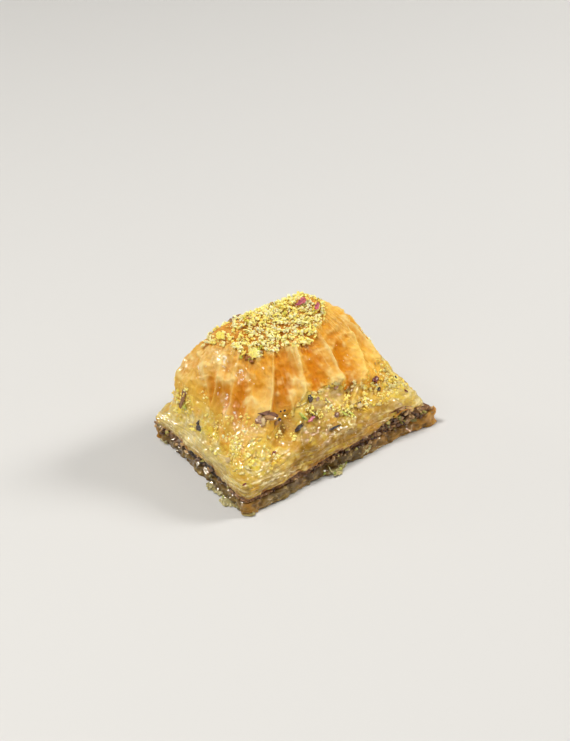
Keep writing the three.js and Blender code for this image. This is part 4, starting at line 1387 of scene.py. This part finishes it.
def makeCamera():
    look = cameraLook
    data = bpy.data.cameras.new("camera")
    data.lens = look["lens"]
    data.sensor_width = 36
    data.dof.use_dof = False
    data.clip_start = 0.01
    camera = bpy.data.objects.new("camera", data)
    bpy.context.scene.collection.objects.link(camera)
    low, high = cadBox
    matrix = Matrix.Translation((low + high) / 2 + Vector(look["aim"]) * mm)
    for angle, axis in ((look["azimuth"], "Z"), (90 - look["elevation"], "X"), (look["tilt"], "Z")):
        matrix = matrix @ Matrix.Rotation(math.radians(angle), 4, axis)
    camera.matrix_world = matrix @ Matrix.Translation((0, 0, look["distance"] * mm))
    bpy.context.scene.camera = camera


print("frame loaded")
makeCamera()
makeStudio()
dress(makeCrown(), finish("bakedFilo", bakedFilo), "top_sheets", "top_sheets")
dress(makeStack(), finish("soakedFilo", soakedFilo), "top_sheets", "top_sheets")
print("upper sheets made")
dress(makeBase(), finish("drenchedFilo", drenchedFilo), "base_sheets", "base_sheets")
dress(makeSeam(), finish("nutPaste", nutPaste), "nut_filling", "nut_filling")
print("lower sheets and seam made")
dress(makeCrumbs(), finish("pistachioFlesh", pistachioFlesh), "top_sheets")
# each kind's material, with its darkest and lightest tone and how much syrup coats it
bitLooks = {
    "skin": nutFlesh("nutSkin", "#6E4430", "#A87E5C", 0.4),
    "dark": nutFlesh("burntSkin", "#1A0E0C", "#34221E", 0.6),
    "green": nutFlesh("greenPistachio", "#8A9A22", "#C8CC58", 0.7),
    "red": nutFlesh("redSkin", "#4A0E10", "#7A1A18", 0.8),
    "pink": nutFlesh("pinkSkin", "#C05868", "#E890A0", 0.4),
    "walnut": nutFlesh("walnutFlesh", "#A87A44", "#E0C890", 0.7),
    "yellow": nutFlesh("yellowPistachio", "#F4E25C", "#FCF090", 0.1),
}
for kind, piece in makeBits():
    dress(piece, bitLooks[kind], "top_sheets")
dress(makeShreds(), finish("filoShred", filoShred), "top_sheets")
footFlakes = makeFootBits("footFlakes", "filo", flakeShapes(6, 130, 0.12, 0.7, 0.2), 131)
dress(footFlakes, nutFlesh("wetFilo", "#9A8C50", "#CCC08A", 0.9), "base_sheets")
footSpecks = makeFootBits("footSpecks", "green", flakeShapes(6, 140, 0.3, 0.9), 141)
dress(footSpecks, bitLooks["green"], "base_sheets")
print("toppings made")
nutLooks = (
    nutFlesh("seamWalnut", "#7C562C", "#C8A06A", 0.4), nutFlesh("seamDark", "#3E2212", "#644022", 0.3),
    nutFlesh("seamGreen", "#7E7228", "#B0A450", 0.6),
)
for piece, look in zip(makeNuts(), nutLooks):
    dress(piece, look, "nut_filling")
print("nuts made")

bpy.context.scene.view_settings.view_transform = "Standard"
